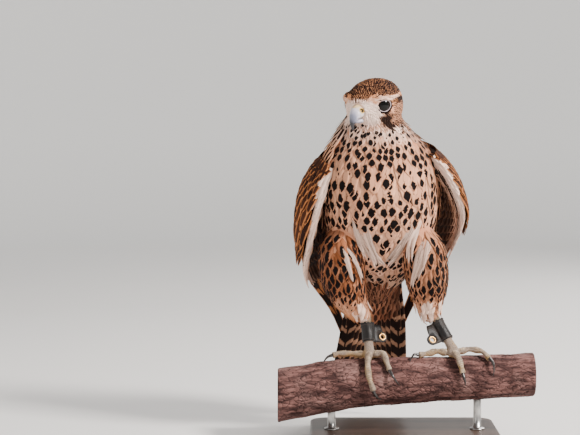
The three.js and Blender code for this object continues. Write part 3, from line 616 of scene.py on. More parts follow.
class Finish(Nodes):
    """A material round one Principled shader."""

    def __init__(self, name, **surface):
        self.material = bpy.data.materials.new(name)
        self.material.use_nodes = True
        super().__init__(self.material.node_tree)
        self.shader = self.tree.nodes["Principled BSDF"]
        for title, value in surface.items():
            self.shader.inputs[title.replace("_", " ")].default_value = value

    def blend(self, share, a, b, how="MIX"):
        inputs = {0: share, 6: a, 7: b}
        return self.node("ShaderNodeMix", inputs, data_type="RGBA", blend_type=how).outputs[2]

    def step(self, value, low, high):
        """0 below low and 1 above high; the other way round where low is the larger."""
        return self.math("DIVIDE", self.math("SUBTRACT", value, low), high - low, clamp=True)

    def object_place(self):
        return self.node("ShaderNodeTexCoord").outputs["Object"]

    def parts(self, vector):
        return self.node("ShaderNodeSeparateXYZ", {"Vector": vector}).outputs

    def share(self, title):
        """A number that the mesh holds."""
        return self.node("ShaderNodeAttribute", attribute_name=title).outputs["Fac"]

    def facts(self, title):
        """The four numbers of a colour that the mesh holds."""
        read = self.node("ShaderNodeAttribute", attribute_name=title).outputs
        parts = self.node("ShaderNodeSeparateColor", {"Color": read["Color"]}).outputs
        return parts[0], parts[1], parts[2], read["Alpha"]

    def noise(self, scale, detail=3.0, stretch=None):
        vector = self.object_place()
        if stretch:
            vector = self.node("ShaderNodeMapping", {"Vector": vector, "Scale": stretch}).outputs[0]
        inputs = {"Vector": vector, "Scale": scale, "Detail": detail}
        return self.node("ShaderNodeTexNoise", inputs).outputs["Fac"]

    def cells(self, scale, feature="F1", vector=None):
        inputs = {"Vector": vector or self.object_place(), "Scale": scale}
        return self.node("ShaderNodeTexVoronoi", inputs, feature=feature).outputs["Distance"]

    def bump(self, height, distance, strength=1.0):
        inputs = {"Height": height, "Distance": distance, "Strength": strength}
        self.put(self.node("ShaderNodeBump", inputs).outputs[0], self.shader.inputs["Normal"])

    def done(self, colour, roughness=None):
        self.put(colour, self.shader.inputs["Base Color"])
        if roughness is not None:
            self.put(roughness, self.shader.inputs["Roughness"])
        return self.material


def feather_finish(
    name, ground, deep, edge, edge_share=1.0, drop=None, streak=0.0, rim=0.0, bars=None, soft=0.0, waver=0.7
):
    """Feathers with a ground colour, dark marks and a pale rim, read from the maps of each vane.

    drop is a spot's place along the vane, and its half width and length at full mark. streak is the half
    width of a dark middle at full mark, rim the width of the edge colour, and bars the number of cross
    bars and their share of the vane. The attribute Feather scales the mark, and its tone leads from
    ground to deep.
    """
    ground, deep = dye(ground), dye(deep)
    edge = [edge_share * c for c in dye(edge)]
    f = Finish(name, Roughness=0.85, Specular_IOR_Level=0.1)
    place_uv = f.parts(f.node("ShaderNodeUVMap", uv_map="Vane").outputs[0])
    mark, tint, tone, pale = f.facts("Feather")
    wobble = f.math("SUBTRACT", f.noise(260.0, 2.0), 0.5)
    u = f.scaled(place_uv[0], 2.0, -1.0)
    u = f.scaled(wobble, waver, u)
    v = f.scaled(wobble, waver * 0.28, place_uv[1])
    span = f.math("ABSOLUTE", u)

    fine = f.math("SINE", f.times(f.scaled(span, -0.3, v), 190.0))
    patches = f.noise(32.0, 2.0)
    colour = f.blend(f.scaled(patches, 0.7, -0.1, clamp=True), ground, edge)
    colour = f.blend(pale, colour, dye("white"))
    colour = f.blend(tone, colour, deep)
    if rim:
        side = f.step(span, 0.92 - rim, 0.98 - rim * 0.6)
        end = f.step(v, 0.95 - rim * 0.3, 0.985 - rim * 0.12)
        inner = f.blend(f.times(tint, 0.5), deep, [0.5 * (a + b) for a, b in zip(deep, ground)])
        reach = f.math("MAXIMUM", side, end)
        colour = f.blend(reach, inner, f.blend(tone, edge, ground))
    if streak:
        inside = f.math("SUBTRACT", f.times(mark, streak), span)
        middle = f.times(f.step(inside, -0.08, 0.08), f.step(v, 0.97, 0.9))
        colour = f.blend(f.times(middle, f.step(mark, 0.03, 0.12)), colour, deep)
    if bars:
        count, share = bars
        wave = f.math("SINE", f.times(f.scaled(span, 0.05, v), count * 2 * math.pi))
        band = f.step(wave, 1 - 2 * share - 0.25, 1 - 2 * share + 0.25)
        band = f.times(band, f.step(span, 0.06, 0.16))
        colour = f.blend(f.times(band, mark), colour, edge)
    if drop:
        low, broad, long = drop
        wide = f.scaled(mark, broad * plumage().spot_size, 0.08)
        tall = f.scaled(mark, long * plumage().spot_size, 0.03)
        down = f.math("DIVIDE", f.math("SUBTRACT", v, low), tall)
        taper = f.scaled(f.math("MAXIMUM", f.times(down, -1.0), 0.0), 0.55, 1.0)
        aside = f.times(f.math("DIVIDE", span, wide), taper)
        reach = f.reach(aside, down)
        spot = f.times(f.step(reach, 1.12, 0.86), f.step(mark, 0.04, 0.1))
        shaft = f.times(f.step(span, 0.09, 0.03), f.step(v, low, low - 0.03))
        spot = f.math("MAXIMUM", spot, f.times(shaft, f.times(mark, 0.8)))
        colour = f.blend(spot, colour, dye("spot"))
    shade = f.scaled(tint, 0.3, 0.82)
    shade = f.scaled(fine, 0.045, shade)
    # Painted rim light: each vane is painted lighter towards its sides and tip, to offset the shade between
    # overlapping feathers.
    fringe = f.math("MAXIMUM", f.step(span, 0.55, 1.0), f.step(v, 0.86, 1.0))
    shade = f.scaled(fringe, 0.2, shade)
    if soft:
        shade = f.scaled(f.noise(900.0, 1.0, stretch=(1, 1, 0.2)), soft, shade)
    grey = f.node("ShaderNodeCombineColor", {0: shade, 1: shade, 2: shade}).outputs[0]
    colour = f.blend(1.0, colour, grey, "MULTIPLY")
    ridge = f.times(f.step(span, 0.1, 0.0), 0.8)
    f.bump(f.scaled(fine, 0.35, ridge), 0.00022, 0.7)
    return f.done(colour)


def plumage():
    return bpy.context.scene.falcon_plumage


def dye(name):
    """A colour of the plumage's settings."""
    return tuple(getattr(plumage(), name))


# Where each coat lies


# A bony ridge that shades the eye: forward, out and up in the head.
BROW = [(28, 17, 8), (23.5, 26, 11.5), (15, 32, 13.2), (5, 33, 12), (-5, 31.5, 8)]
# How deep the skin lies under the body's and the head's own form, in millimetres.
BODY_COAT = 2.2
HEAD_COAT = 1.2
# How far the bare ring round an eye reaches from the eye's middle, and the head's feathers from the head's.
EYE_BARE = 10.9
HEAD_REACH = 37
# The heights of the body's lowest and highest feathers.
BODY_SPAN = (60, 310)
# What one operator makes and later ones use: finishes, the skin and the surfaces that feathers lie on.
made = {}


def inset(rows, depth):
    return [(z, x, y, w - depth, front - depth, back - depth) for z, x, y, w, front, back in rows]


def surface_of(rings):
    mesh = closed("lie", lofted(rings))
    surface = Surface(mesh)
    bpy.data.meshes.remove(mesh)
    return surface


def node_part(node, grow):
    """A CAD node's vertices, moved out a little, and its faces."""
    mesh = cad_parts[node].data.copy()
    bm = bmesh.new()
    bm.from_mesh(mesh)
    bmesh.ops.remove_doubles(bm, verts=bm.verts, dist=1e-5)
    bm.normal_update()
    verts = [np.array(v.co + v.normal * grow) for v in bm.verts]
    faces = [tuple(v.index for v in f.verts) for f in bm.faces]
    bm.free()
    bpy.data.meshes.remove(mesh)
    return verts, faces


def down(point):
    """The lie of the body's feathers: down, a little outward on the breast and inward on the belly."""
    x, _, z = point / MM - BIRD
    return np.array([0.0035 * x * (1 if z > 120 else -1.5), 0.25 if z < 110 else 0.0, -1.0])


def thigh_down(point):
    return np.array([0.0, 0.12, -1.0])


def head_down(point):
    """The lie of the head's feathers: back from the bill over the crown, and down the cheeks and nape."""
    forward, _, up = head_terms(point)
    back = smooth(up, -24, 6) * smooth(forward, -36, -12)
    return mix(np.array([0, 0, -1.0]) - 0.4 * HEAD_AXES[0], -HEAD_AXES[0] + (0, 0, -0.3), back)


def at_height(table, z):
    """The numbers of a table at a height, along straight lines."""
    heights, *columns = zip(*table)
    return [float(np.interp(z, heights, column)) for column in columns]


def upright_rows(rows, low, high, table, rng):
    """Staggered places round an upright form: height, turn and the form's middle there.

    table gives the distance between rows, and between the feathers in a row, from height to height.
    """
    z = low
    odd = False
    while z < high:
        x, y, width, front, back = along(rows, z)
        pitch, spacing = at_height(table, z)
        count = max(6, int(round(math.pi * (width + (front + back) / 2) / spacing)))
        for k in range(count):
            turn = 2 * math.pi * (k + 0.5 * odd + 0.5 * (rng.random() - 0.5)) / count
            rise = pitch * 0.55 * (rng.random() - 0.5)
            yield z + rise, turn, place((x, y, z + rise))
        odd = not odd
        z += pitch


def body_facts(turn, z, rng):
    """Front, mark and tone of a body feather by where it grows: front is 1 on the breast, -1 on the back."""
    front = -math.sin(turn)
    mark = np.interp(z, [62, 90, 125, 200, 245, 275, 300], [0.9, 1.0, 0.95, 0.9, 0.82, 0.75, 0.45])
    mark *= 0.55 + 0.65 * rng.random()
    if rng.random() < 0.1:
        mark *= 0.25
    flank = smooth(abs(math.cos(turn)), 0.7, 1.0) * smooth(z, 130, 190)
    # Painted shade on the upper breast's side away from the key light, given as more marks and tone; the
    # next line's extra marks on that side and in the middle are painted shade too.
    painted_shade = smooth(-math.cos(turn), -0.2, 0.5) * smooth(z, 190, 250)
    mark *= 1 + 0.6 * painted_shade + 0.4 * smooth(z, 215, 240) * smooth(-math.cos(turn), -0.5, 0.1)
    mark *= 1 + 0.8 * smooth(math.cos(turn), 0.1, 0.6) * smooth(z, 230, 262)
    tone = 0.4 * flank * smooth(z, 180, 240) + 0.18 * painted_shade + 0.12 * rng.random() + 0.3 * smooth(z, 125, 95)
    return front, float(np.clip(mark * (1 + 0.3 * flank), 0, 1)), float(tone)


def head_facts(spot):
    """Mark, tone and pale of a head feather: dark crown and moustache, pale brow, cheek and throat, with
    painted shade over the throat under the bill.
    """
    forward, left, up = spot
    side = abs(left)
    line = mix(14.5, 8.5, smooth(forward, 16, 28) * smooth(14 - side, 0, 5))
    crown = smooth(up, line, line + 2.5) * (1 - 0.35 * smooth(forward, 24, 34))
    brow = smooth(side, 20, 25) * smooth(up, 9.5, 11) * smooth(16 - up, 0, 2.5) * smooth(forward, -12, 0)
    stripe_middle = mix(20, 7, smooth(-up, 5, 27))
    stripe = smooth(7.5 - abs(forward - stripe_middle), 0, 3.5) * smooth(-4 - up, 0, 3) * smooth(side, 9, 14)
    hem_height = mix(-25, -20, smooth(7 - forward, 0, 16))
    hem = smooth(3.6 - abs(up - hem_height), 0, 2.5) * smooth(9 - forward, 0, 4) * smooth(forward, -13, -5)
    moustache = max(stripe, 0.8 * hem * smooth(side, 12, 18))
    behind = smooth(5 - abs(up - 8), 0, 3) * smooth(3 - forward, 0, 4) * smooth(side, 18, 26)
    under = smooth(4.5 - abs(up + 8.5), 0, 3) * smooth(side, 12, 17) * smooth(9 - abs(forward - 17), 0, 4)
    nape = smooth(-14 - forward, 0, 10) * smooth(up, -30, -14)
    lores = smooth(forward, 20, 26) * smooth(12 - up, 0, 4)
    cheek = smooth(side, 15, 22) * smooth(12 - forward, 0, 6) * smooth(14 - up, 0, 6)
    tone = max(0.12 * crown * (1 - brow), 0.95 * moustache, 0.8 * behind, 0.3 * nape, 0.9 * under)
    mark = max(crown * (1 - 0.8 * brow), 0.66 * cheek, 0.95 * nape, moustache, behind, under)
    # The throat's grey streaks are its own; its added tone and lessened pale are painted shade under the
    # bill.
    throat = smooth(-13 - up, 0, 6)
    mark = mark * (1 - 0.8 * lores) + 0.45 * throat
    tone = max(tone, 0.12 * throat)
    pale = max(lores * (1 - 0.75 * throat), 0.25 * throat * smooth(forward, 0, 12), 0.6 * brow)
    pale *= 1 - 0.8 * max(moustache, under)
    return [float(np.clip(v, 0, 1)) for v in (mark, tone, pale)]


# Body, thighs and head


def build_skin():
    """One skin over head, neck, body and thighs, inside the coat, with the lie surfaces of each region."""
    parts = [node_part(node, 0.25 * MM) for node in ("head", "neck", "torso")]
    for side in "rl":
        parts.append(lofted(column_rings(THIGH[side], 32, 20)))
    for side in (1, -1):
        ridge = Path([in_head((forward, side * out, up)) for forward, out, up in BROW])
        rings = rings_along(ridge, lambda t, a: (1.4 + 2.4 * math.sin(math.pi * t)) * MM, 12, 16)
        parts.append(lofted(rings))
    skin = new_object("skin", closed("skin", *parts), skin_finish())
    evened(skin, 1.9, 0.6, 5)
    mesh = skin.data
    count = len(mesh.vertices)
    verts = np.empty(count * 3, np.float32)
    normals = np.empty(count * 3, np.float32)
    mesh.vertices.foreach_get("co", verts)
    mesh.vertices.foreach_get("normal", normals)
    verts, normals = verts.reshape(-1, 3), normals.reshape(-1, 3)
    terms = head_terms(verts)
    reach = np.linalg.norm(terms, axis=1)
    eyes = [eye_middle(side) for side in (1, -1)]
    marks = np.zeros((count, 4), np.float32)
    for i in np.flatnonzero(reach < HEAD_REACH + 8):
        mark, tone, pale = head_facts(terms[i])
        socket = smooth(14.5 * MM - min(np.linalg.norm(verts[i] - eye) for eye in eyes), 0, 2 * MM)
        marks[i] = (max(mark, socket), tone, pale * (1 - socket), smooth(HEAD_REACH + 8 - reach[i], 0, 6))
    layer = mesh.color_attributes.new("Marking", "FLOAT_COLOR", "POINT")
    layer.data.foreach_set("color", marks.ravel())
    depth = mix(HEAD_COAT, BODY_COAT, smooth(reach, HEAD_REACH, HEAD_REACH + 14))
    verts -= normals * (depth * MM)[:, None]
    mesh.vertices.foreach_set("co", verts.ravel())
    mesh.update()
    made["skin"], made["skin_mesh"] = Surface(mesh), mesh
    made["body"] = surface_of(column_rings(inset(BODY, BODY_COAT), 96, 90))
    for side in "rl":
        made["thigh_" + side] = surface_of(column_rings(inset(THIGH[side], BODY_COAT), 48, 50))
    return declare(skin, "plumage", "head", "neck", "torso", "thigh_r", "thigh_l")


def skin_finish():
    """What shows between the feathers: pale breast, dark back, and the same dark spots."""
    f = Finish("Skin under the feathers", Roughness=0.9, Specular_IOR_Level=0.1)
    terms = f.parts(f.object_place())
    back = f.step(terms[1], -0.01, 0.012)
    spots = f.step(f.cells(75.0), 0.26, 0.2)
    colour = f.blend(f.noise(40.0), dye("peach"), dye("cream"))
    colour = f.blend(f.times(spots, 0.85), colour, dye("spot"))
    colour = f.blend(back, colour, f.blend(f.noise(90.0), dye("umber"), dye("brown")))
    mark, tone, pale, on_head = f.facts("Marking")
    head = f.blend(pale, dye("cream"), dye("white"))
    head = f.blend(f.step(f.math("MAXIMUM", mark, tone), 0.1, 0.6), head, dye("umber"))
    colour = f.blend(on_head, colour, head)
    f.bump(f.noise(700.0), 0.0005, 0.6)
    return f.done(colour)


def in_map(share):
    """A share of the bake map's side, kept clear of its edges."""
    return share * 0.94 + 0.03


def bake_place(turn, z, low, high):
    return np.array([in_map(turn / (2 * math.pi) % 1.0), in_map((z - low) / (high - low))])


def inside_thigh(point):
    """How deep a place lies in either thigh, as a share of its half width, 0 outside."""
    x, y, z = point / MM - BIRD
    depth = 0.0
    for rows in THIGH.values():
        if rows[0][0] < z < rows[-1][0]:
            cx, cy, width, front, back = along(rows, z)
            reach = math.hypot((x - cx) / width, (y - cy) / (front if y < cy else back))
            depth = max(depth, 1 - reach)
    return depth


def build_body_coat():
    """Breast and belly feathers in one piece, and the mantle and rump in another."""
    rng = np.random.default_rng(plumage().seed)
    breast, mantle, shoulder = Coat(7, 9), Coat(7, 9), Coat(7, 9)
    table = [(60, 6.5, 7), (100, 8.5, 9.5), (150, 10.5, 12.5), (230, 11, 13), (262, 8, 9.5), (300, 4.6, 6)]

    def stray(point):
        return down(point) + (lean, 0.0, 0.0)

    reach = plumage().body_length
    for z, turn, middle in upright_rows(BODY, 64, 298, table, rng):
        lean = 0.34 * (rng.random() - 0.5)
        upper = z > 240
        surface = made["skin"] if upper else made["body"]
        root, _ = surface.cast(middle, level(turn))
        if root is None or inside_thigh(root) > 0.25:
            continue
        if np.linalg.norm(head_terms(root)) < HEAD_REACH - 2:
            continue
        front, mark, tone = body_facts(turn, z, rng)
        pitch, size = at_height(table, z)
        limit = -0.05 + 0.42 * smooth(z, 185, 235) * (math.cos(turn) < 0)
        edge = limit + 0.14 * (rng.random() - 0.5)
        coat = breast if front > edge else shoulder if front > edge - 0.5 and z > 175 else mantle
        loose = 3.4 if coat is shoulder else 0.0
        if coat is shoulder:
            mark, tone = 0.5 + 0.4 * rng.random(), 0.1 * rng.random()
        lay(
            coat, surface, root + (0, 0, 0.6 * pitch * MM), stray,
            size * reach * (0.88 + 0.24 * rng.random()) * MM, size * 1.6 * MM, rng,
            low=-0.8, high=0.5 + loose + 0.7 * rng.random(), curl=0.2, ragged=0.35, point=2.6, arch=0.06,
            bake=bake_place(turn, z, *BODY_SPAN), mark=mark, tint=rng.random(), tone=tone,
            pale=0.7 * float(smooth(z, 268, 292)) + 0.25 * rng.random() * float(smooth(z, 225, 120)),
        )
    return [
        breast.piece("breast_feathers", "breast"),
        mantle.piece("mantle_feathers", "mantle"),
        shoulder.piece("shoulder_feathers", "shoulder"),
    ]


def build_thigh_coat(side):
    """The trousers: blotched feathers outside, and short pale ones at the shank."""
    rng = np.random.default_rng(plumage().seed + ord(side))
    coat = Coat(5, 9)
    rows, surface = THIGH[side], made["thigh_" + side]
    low, high = rows[0][0], rows[-1][0]
    table = [(low, 3.4, 4), (low + 20, 6, 7), (110, 9, 10.5), (160, 9, 10.5)]

    def stray(point):
        return thigh_down(point) + (lean, 0, 0)

    outer = -1 if side == "r" else 1
    for z, turn, middle in upright_rows(rows, low + 2, high - 3, table, rng):
        root, _ = surface.cast(middle, level(turn))
        if root is None:
            continue
        shown = smooth(z, low + 18, low + 50)
        lean = 0.5 * (rng.random() - 0.5)
        mark = shown * (0.85 + 0.45 * rng.random()) * (0.82 + 0.18 * outer * math.cos(turn))
        pitch, size = at_height(table, z)
        # Tone is raised behind each thigh, and over the whole right thigh as painted shade on the side away
        # from the key light.
        dark = 0.42 + 0.2 * (math.sin(turn) > 0.2) + 0.3 * (side == "r")
        lay(
            coat, surface, root + (0, 0, 0.6 * pitch * MM), stray,
            size * 2.5 * (0.85 + 0.35 * rng.random()) * MM, size * 1.45 * MM, rng,
            low=-0.8, high=1.1 + 1.0 * rng.random(), curl=0.6, ragged=0.4, point=2.6, arch=0.12,
            bake=bake_place(turn, z, low, high), mark=float(np.clip(mark, 0, 1)), tint=rng.random(),
            tone=float(shown * (dark + 0.32 * rng.random())),
        )
    return coat.piece(f"thigh_feathers_{side}", "thigh")


def build_head_coat():
    """Fine feathers over the head, smallest at the bill and round the eyes."""
    rng = np.random.default_rng(plumage().seed + 3)
    coats = {"cap": Coat(5, 6), "face": Coat(5, 6)}
    eyes = [eye_middle(side) for side in (1, -1)]
    verts = np.array([v.co for v in made["skin_mesh"].vertices])
    terms = head_terms(verts)
    near = verts[np.linalg.norm(terms, axis=1) < HEAD_REACH + 3 + 7 * (terms[:, 0] < 6)]
    kept = np.empty((0, 3))
    for point in rng.permutation(near) + rng.uniform(-0.7, 0.7, near.shape) * MM:
        spot = head_terms(point)
        size = float(np.interp(spot[0], [-40, -10, 20, 34], [4.1, 3.1, 2.5, 1.9]))
        if len(kept) and np.min(np.linalg.norm(kept - point, axis=1)) < size * 0.72 * MM:
            continue
        ahead = (spot[0] - EYE["forward"]) / 10
        bare = EYE_BARE + 1.1 * np.clip(ahead, -1, 1) - 0.8 * (spot[2] > 8)
        if min(np.linalg.norm(point - eye) for eye in eyes) < bare * MM:
            continue
        if spot[0] > 27 and abs(spot[1]) < 8.2 and -17 < spot[2] < 5.6:
            continue
        kept = np.vstack([kept, point])
        mark, tone, pale = head_facts(spot)
        mark = min(1.0, mark * (0.75 + 0.4 * rng.random()))
        turn = math.atan2(spot[1], -spot[2])
        coat = coats["cap" if spot[2] > 4 else "face"]
        lay(
            coat, made["skin"], point, head_down, size * 2.8 * MM, size * 1.4 * MM, rng,
            low=-0.4, high=0.5 + 0.4 * rng.random(), curl=0.2, ragged=0.3, point=2.4, thick=0.25,
            bake=bake_place(turn, spot[0], -42, 36), mark=mark, tint=rng.random(), tone=tone, pale=pale,
        )
    return [coat.piece(name + "_feathers", name) for name, coat in coats.items()]


# Wings and tail


class Sheet:
    """A wing's surface read from an even grid, so that hundreds of feathers can be laid on it quickly."""

    LONG, WIDE = 90, 30

    def __init__(self, side):
        flat, normal = wing_sheet(side)
        us, vs = np.linspace(0, 1, self.LONG + 1), np.linspace(0, 1, self.WIDE + 1)
        self.points = np.array([[flat(u, v) for v in vs] for u in us])
        self.normals = np.array([[normal(min(0.98, u), v) for v in vs] for u in us])

    def read(self, table, u, v):
        a = np.minimum(u, 1) * self.LONG
        b = np.clip(v, 0, 1) * self.WIDE
        i, k = np.clip(a.astype(int), 0, self.LONG - 1), np.minimum(b.astype(int), self.WIDE - 1)
        s, t = (a - i)[:, None], (b - k)[:, None]
        low = mix(table[i, k], table[i, k + 1], t)
        high = mix(table[i + 1, k], table[i + 1, k + 1], t)
        return mix(low, high, s)

    def lie(self, u, v, lift):
        """Points and normals at arrays of u and v, lifted off the surface by lift."""
        u, v = np.asarray(u, float), np.asarray(v, float)
        normals = unit(self.read(self.normals, u, v))
        return self.read(self.points, u, v) + normals * np.asarray(lift)[:, None], normals


def wing_feather(
    coat, sheet, start, end, width, lifts, rng, bow=0.0, point=5, ragged=0.05, arch=0.12, mark=1.0, tone=0.0
):
    """One feather on the wing from place to place, lifts in millimetres at its root and tip."""
    t = np.linspace(0, 1, coat.stations)
    u = mix(start[0], end[0], t)
    v = mix(start[1], end[1], t) + bow * np.sin(math.pi * t)
    lift = mix(lifts[0], lifts[1], np.clip(t * 1.5, 0, 1))
    spine, normals = sheet.lie(u, v, lift * MM)
    left, right = outline(coat.stations, point, rng, ragged, 0.5)
    bake = in_map(np.array(start))
    facts = (mark, rng.random(), tone, 0.0)
    coat.add(spine, normals, left * width * MM, right * width * MM, arch, 0.5 * MM, bake, facts)


def wing_thickness(u):
    """How thick the wing's flesh is at a share of its length, in millimetres."""
    return 1.6 + 20.5 * max(0.0, 1 - u / 0.62) ** 0.8


def wing_depth(u, v):
    """How far the wing's inner face lies under its outer surface, in millimetres."""
    return 2.8 + wing_thickness(u) * (0.25 + 0.75 * math.sqrt(max(0.0, 1 - (2 * v - 1) ** 4)))


def wing_arm(side, sheet):
    """The wing's flesh and small coverts: a thick, round-edged leaf from the bend to past its middle."""
    steps, half, reach = 26, 12, 0.62
    rings = []
    for i in range(steps + 1):
        share = i / steps
        close = math.sqrt(min(1.0, 0.3 + share * 5)) * (1 - 0.3 * share**3)
        ring = []
        for k in range(2 * half):
            outer = k <= half
            v = 0.5 - 0.5 * close * math.cos(math.pi * (k if outer else 2 * half - k) / half)
            lift = -2.8 if outer else -wing_depth(share * reach, v)
            ring.append((reach * share, v, lift * MM))
        ring = np.array(ring)
        rings.append(sheet.lie(ring[:, 0], ring[:, 1], ring[:, 2])[0])
    return lofted(np.array(rings))


# Tiers of coverts over the wing: start, reach, feathers, half width, lift.
COVERT_TIERS = [
    (0.205, 0.43, 13, 6.6, 5.4),
    (0.155, 0.335, 13, 6.4, 5.0),
    (0.115, 0.262, 13, 5.8, 4.4),
    (0.08, 0.205, 14, 5.2, 3.8),
    (0.05, 0.162, 14, 4.9, 3.2),
    (0.02, 0.125, 14, 4.7, 2.6),
    (-0.01, 0.088, 13, 4.5, 2.0),
    (-0.03, 0.055, 12, 4.2, 1.4),
]
# Lines of the pale band, which wraps under: v at their roots, lift in millimetres, and first u.
BAND_LINES = [
    (0.035, 2.2, 0.05),
    (0.012, 1.4, 0.03),
    (0.004, -0.6, 0.0),
    (0.01, -3.4, 0.0),
    (0.03, -6.6, 0.01),
    (0.06, -9.8, 0.03),
    (0.1, -12.6, 0.05),
]


def build_wing(side):
    """A folded, drooping wing: flight feathers in tiers, rows of edged coverts and a pale front band."""
    rng = np.random.default_rng(plumage().seed + 11 + ord(side))
    sheet = Sheet(side)
    flight, coverts, band, small = Coat(5, 18), Coat(5, 9), Coat(5, 8), Coat(5, 6)
    primaries = 10
    for i in range(primaries):
        s = i / (primaries - 1)
        start, end = (0.3, mix(0.05, 0.46, s)), (mix(1, 0.63, s**0.85), mix(0.46, 0.66, s))
        wing_feather(flight, sheet, start, end, mix(7.4, 8.6, s), (-2.2, -1.8 + 0.8 * i), rng, point=6)
    secondaries = 11
    for i in range(secondaries):
        s = i / (secondaries - 1)
        start, end = (0.22, mix(0.36, 0.88, s)), (mix(0.67, 0.48, s), mix(0.56, 0.97, s))
        wing_feather(flight, sheet, start, end, 7.6, (-1, 6 + 0.85 * i), rng, 0.02, point=7)
    for row, (start_u, reach, count, width, lift) in enumerate(COVERT_TIERS):
        for i in range(count):
            s = (i + 0.5 * (row % 2)) / (count - 0.5)
            wander = 0.012 * (rng.random() - 0.5)
            start, end = (max(0, start_u), mix(0.03, 0.98, s)), (reach + wander, mix(0.05, 1.0, s))
            lifts = (-1.4, lift + 0.22 * i + 0.4 * rng.random())
            wing_feather(coverts, sheet, start, end, width, lifts, rng, point=3.6, ragged=0.12)
    tertials = 6
    for i in range(tertials):
        start, end = (0.2 + 0.02 * i, 0.88), (0.47 + 0.045 * i, mix(0.98, 0.82, i / (tertials - 1)))
        wing_feather(flight, sheet, start, end, 10, (3.0, 16.5 - 0.5 * i), rng)
    # Feathers turned round the wing's upper edge, which close it towards the back.
    for row in range(16):
        u = 0.02 + 0.034 * row
        for lift in (-0.5, -0.28 * wing_thickness(u), -0.6 * wing_thickness(u)):
            look = {"point": 3.5, "ragged": 0.2, "arch": 0.3, "tone": 0.5}
            wing_feather(
                coverts, sheet, (u, 0.985), (u + 0.09, 1.0), 6.2, (lift - 1.5, lift - 0.5), rng, **look)
    # Feathers that part over the bend of the wing, to its outer and its inner face.
    for row, top in enumerate((-0.018, -0.014)):
        for i in range(15):
            v = mix(0.02, 0.96, (i + 0.5 * row) / 14.5)
            middle = -0.5 * wing_depth(0.02, v)
            for end in (1.2, -wing_depth(0.05, v) - 1.2):
                lifts = (mix(middle, end, 0.9 * row), end)
                look = {"point": 3.0, "ragged": 0.25, "arch": 0.1, "tone": 0.3}
                wing_feather(coverts, sheet, (top, v), (top + 0.065, v), 5.4, lifts, rng, **look)
    for row in range(17):
        for i in range(7):
            u, v = 0.01 + 0.028 * row, 0.035 + 0.052 * (i + 0.5 * (row % 2))
            rise = 2.2 + 8 * u
            end = (u + 0.07 + 0.01 * rng.random(), v + 0.008)
            lifts = (rise - 2.2, rise + 0.5 * rng.random())
            wing_feather(small, sheet, (u, v), end, 3.1, lifts, rng, point=2.8, ragged=0.2, arch=0.15)
    for line, (v, lift, start_u) in enumerate(BAND_LINES):
        for i in range(19):
            u = start_u + (i + 0.5 * (line % 2)) * 0.031
            if line == 0 and u > 0.2:
                continue
            root_v = max(0.0, v + 0.006 * (rng.random() - 0.5))
            ease = 1 - 0.55 * smooth(u, 0.1, 0.6)
            lifts = (lift * ease - 1.2, lift * ease + 0.6 * rng.random())
            look = {"point": 2.6, "ragged": 0.35, "arch": 0.2, "mark": 0.2 * rng.random()}
            start, end = (max(0.0, u - 0.02), root_v), (u + 0.062, root_v)
            wing_feather(band, sheet, start, end, 4.4, lifts, rng, **look)
    core = new_object(f"wing_core_{side}", closed("core", wing_arm(side, sheet)), made["under_finish"])
    slot, node = "wing_feathers", "wing_" + side
    return [
        flight.piece(f"flight_feathers_{side}", "flight", slot, node),
        coverts.piece(f"wing_coverts_{side}", "covert", slot, node),
        small.piece(f"lesser_coverts_{side}", "covert", slot, node),
        band.piece(f"wing_band_{side}", "band", slot, node),
        declare(core, slot, node),
        underwing_coat(sheet, rng).piece(f"underwing_{side}", "underwing", slot, node),
    ]


def underwing_coat(sheet, rng):
    """Small pale-edged coverts on the wing's inner face, darkened by painted shade towards its upper edge.
    """
    coat = Coat(5, 7)
    for row in range(13):
        start_u = 0.015 + 0.046 * row
        reach = start_u + 0.1
        for i in range(11):
            v = mix(0.03, 1.0, (i + 0.5 * (row % 2)) / 10.5)
            lifts = (-wing_depth(start_u, v) + 0.6, -wing_depth(reach, v) - 1.2)
            # The tone that darkens the coverts towards the wing's upper edge is painted shade under the
            # drooping wing.
            look = {"point": 3.5, "ragged": 0.2, "arch": -0.12, "tone": 0.88 * smooth(v, 0.08, 0.32)}
            mark = 0.5 + 0.4 * rng.random()
            wing_feather(coat, sheet, (start_u, v), (reach, v), 5.6, lifts, rng, mark=mark, **look)
    return coat


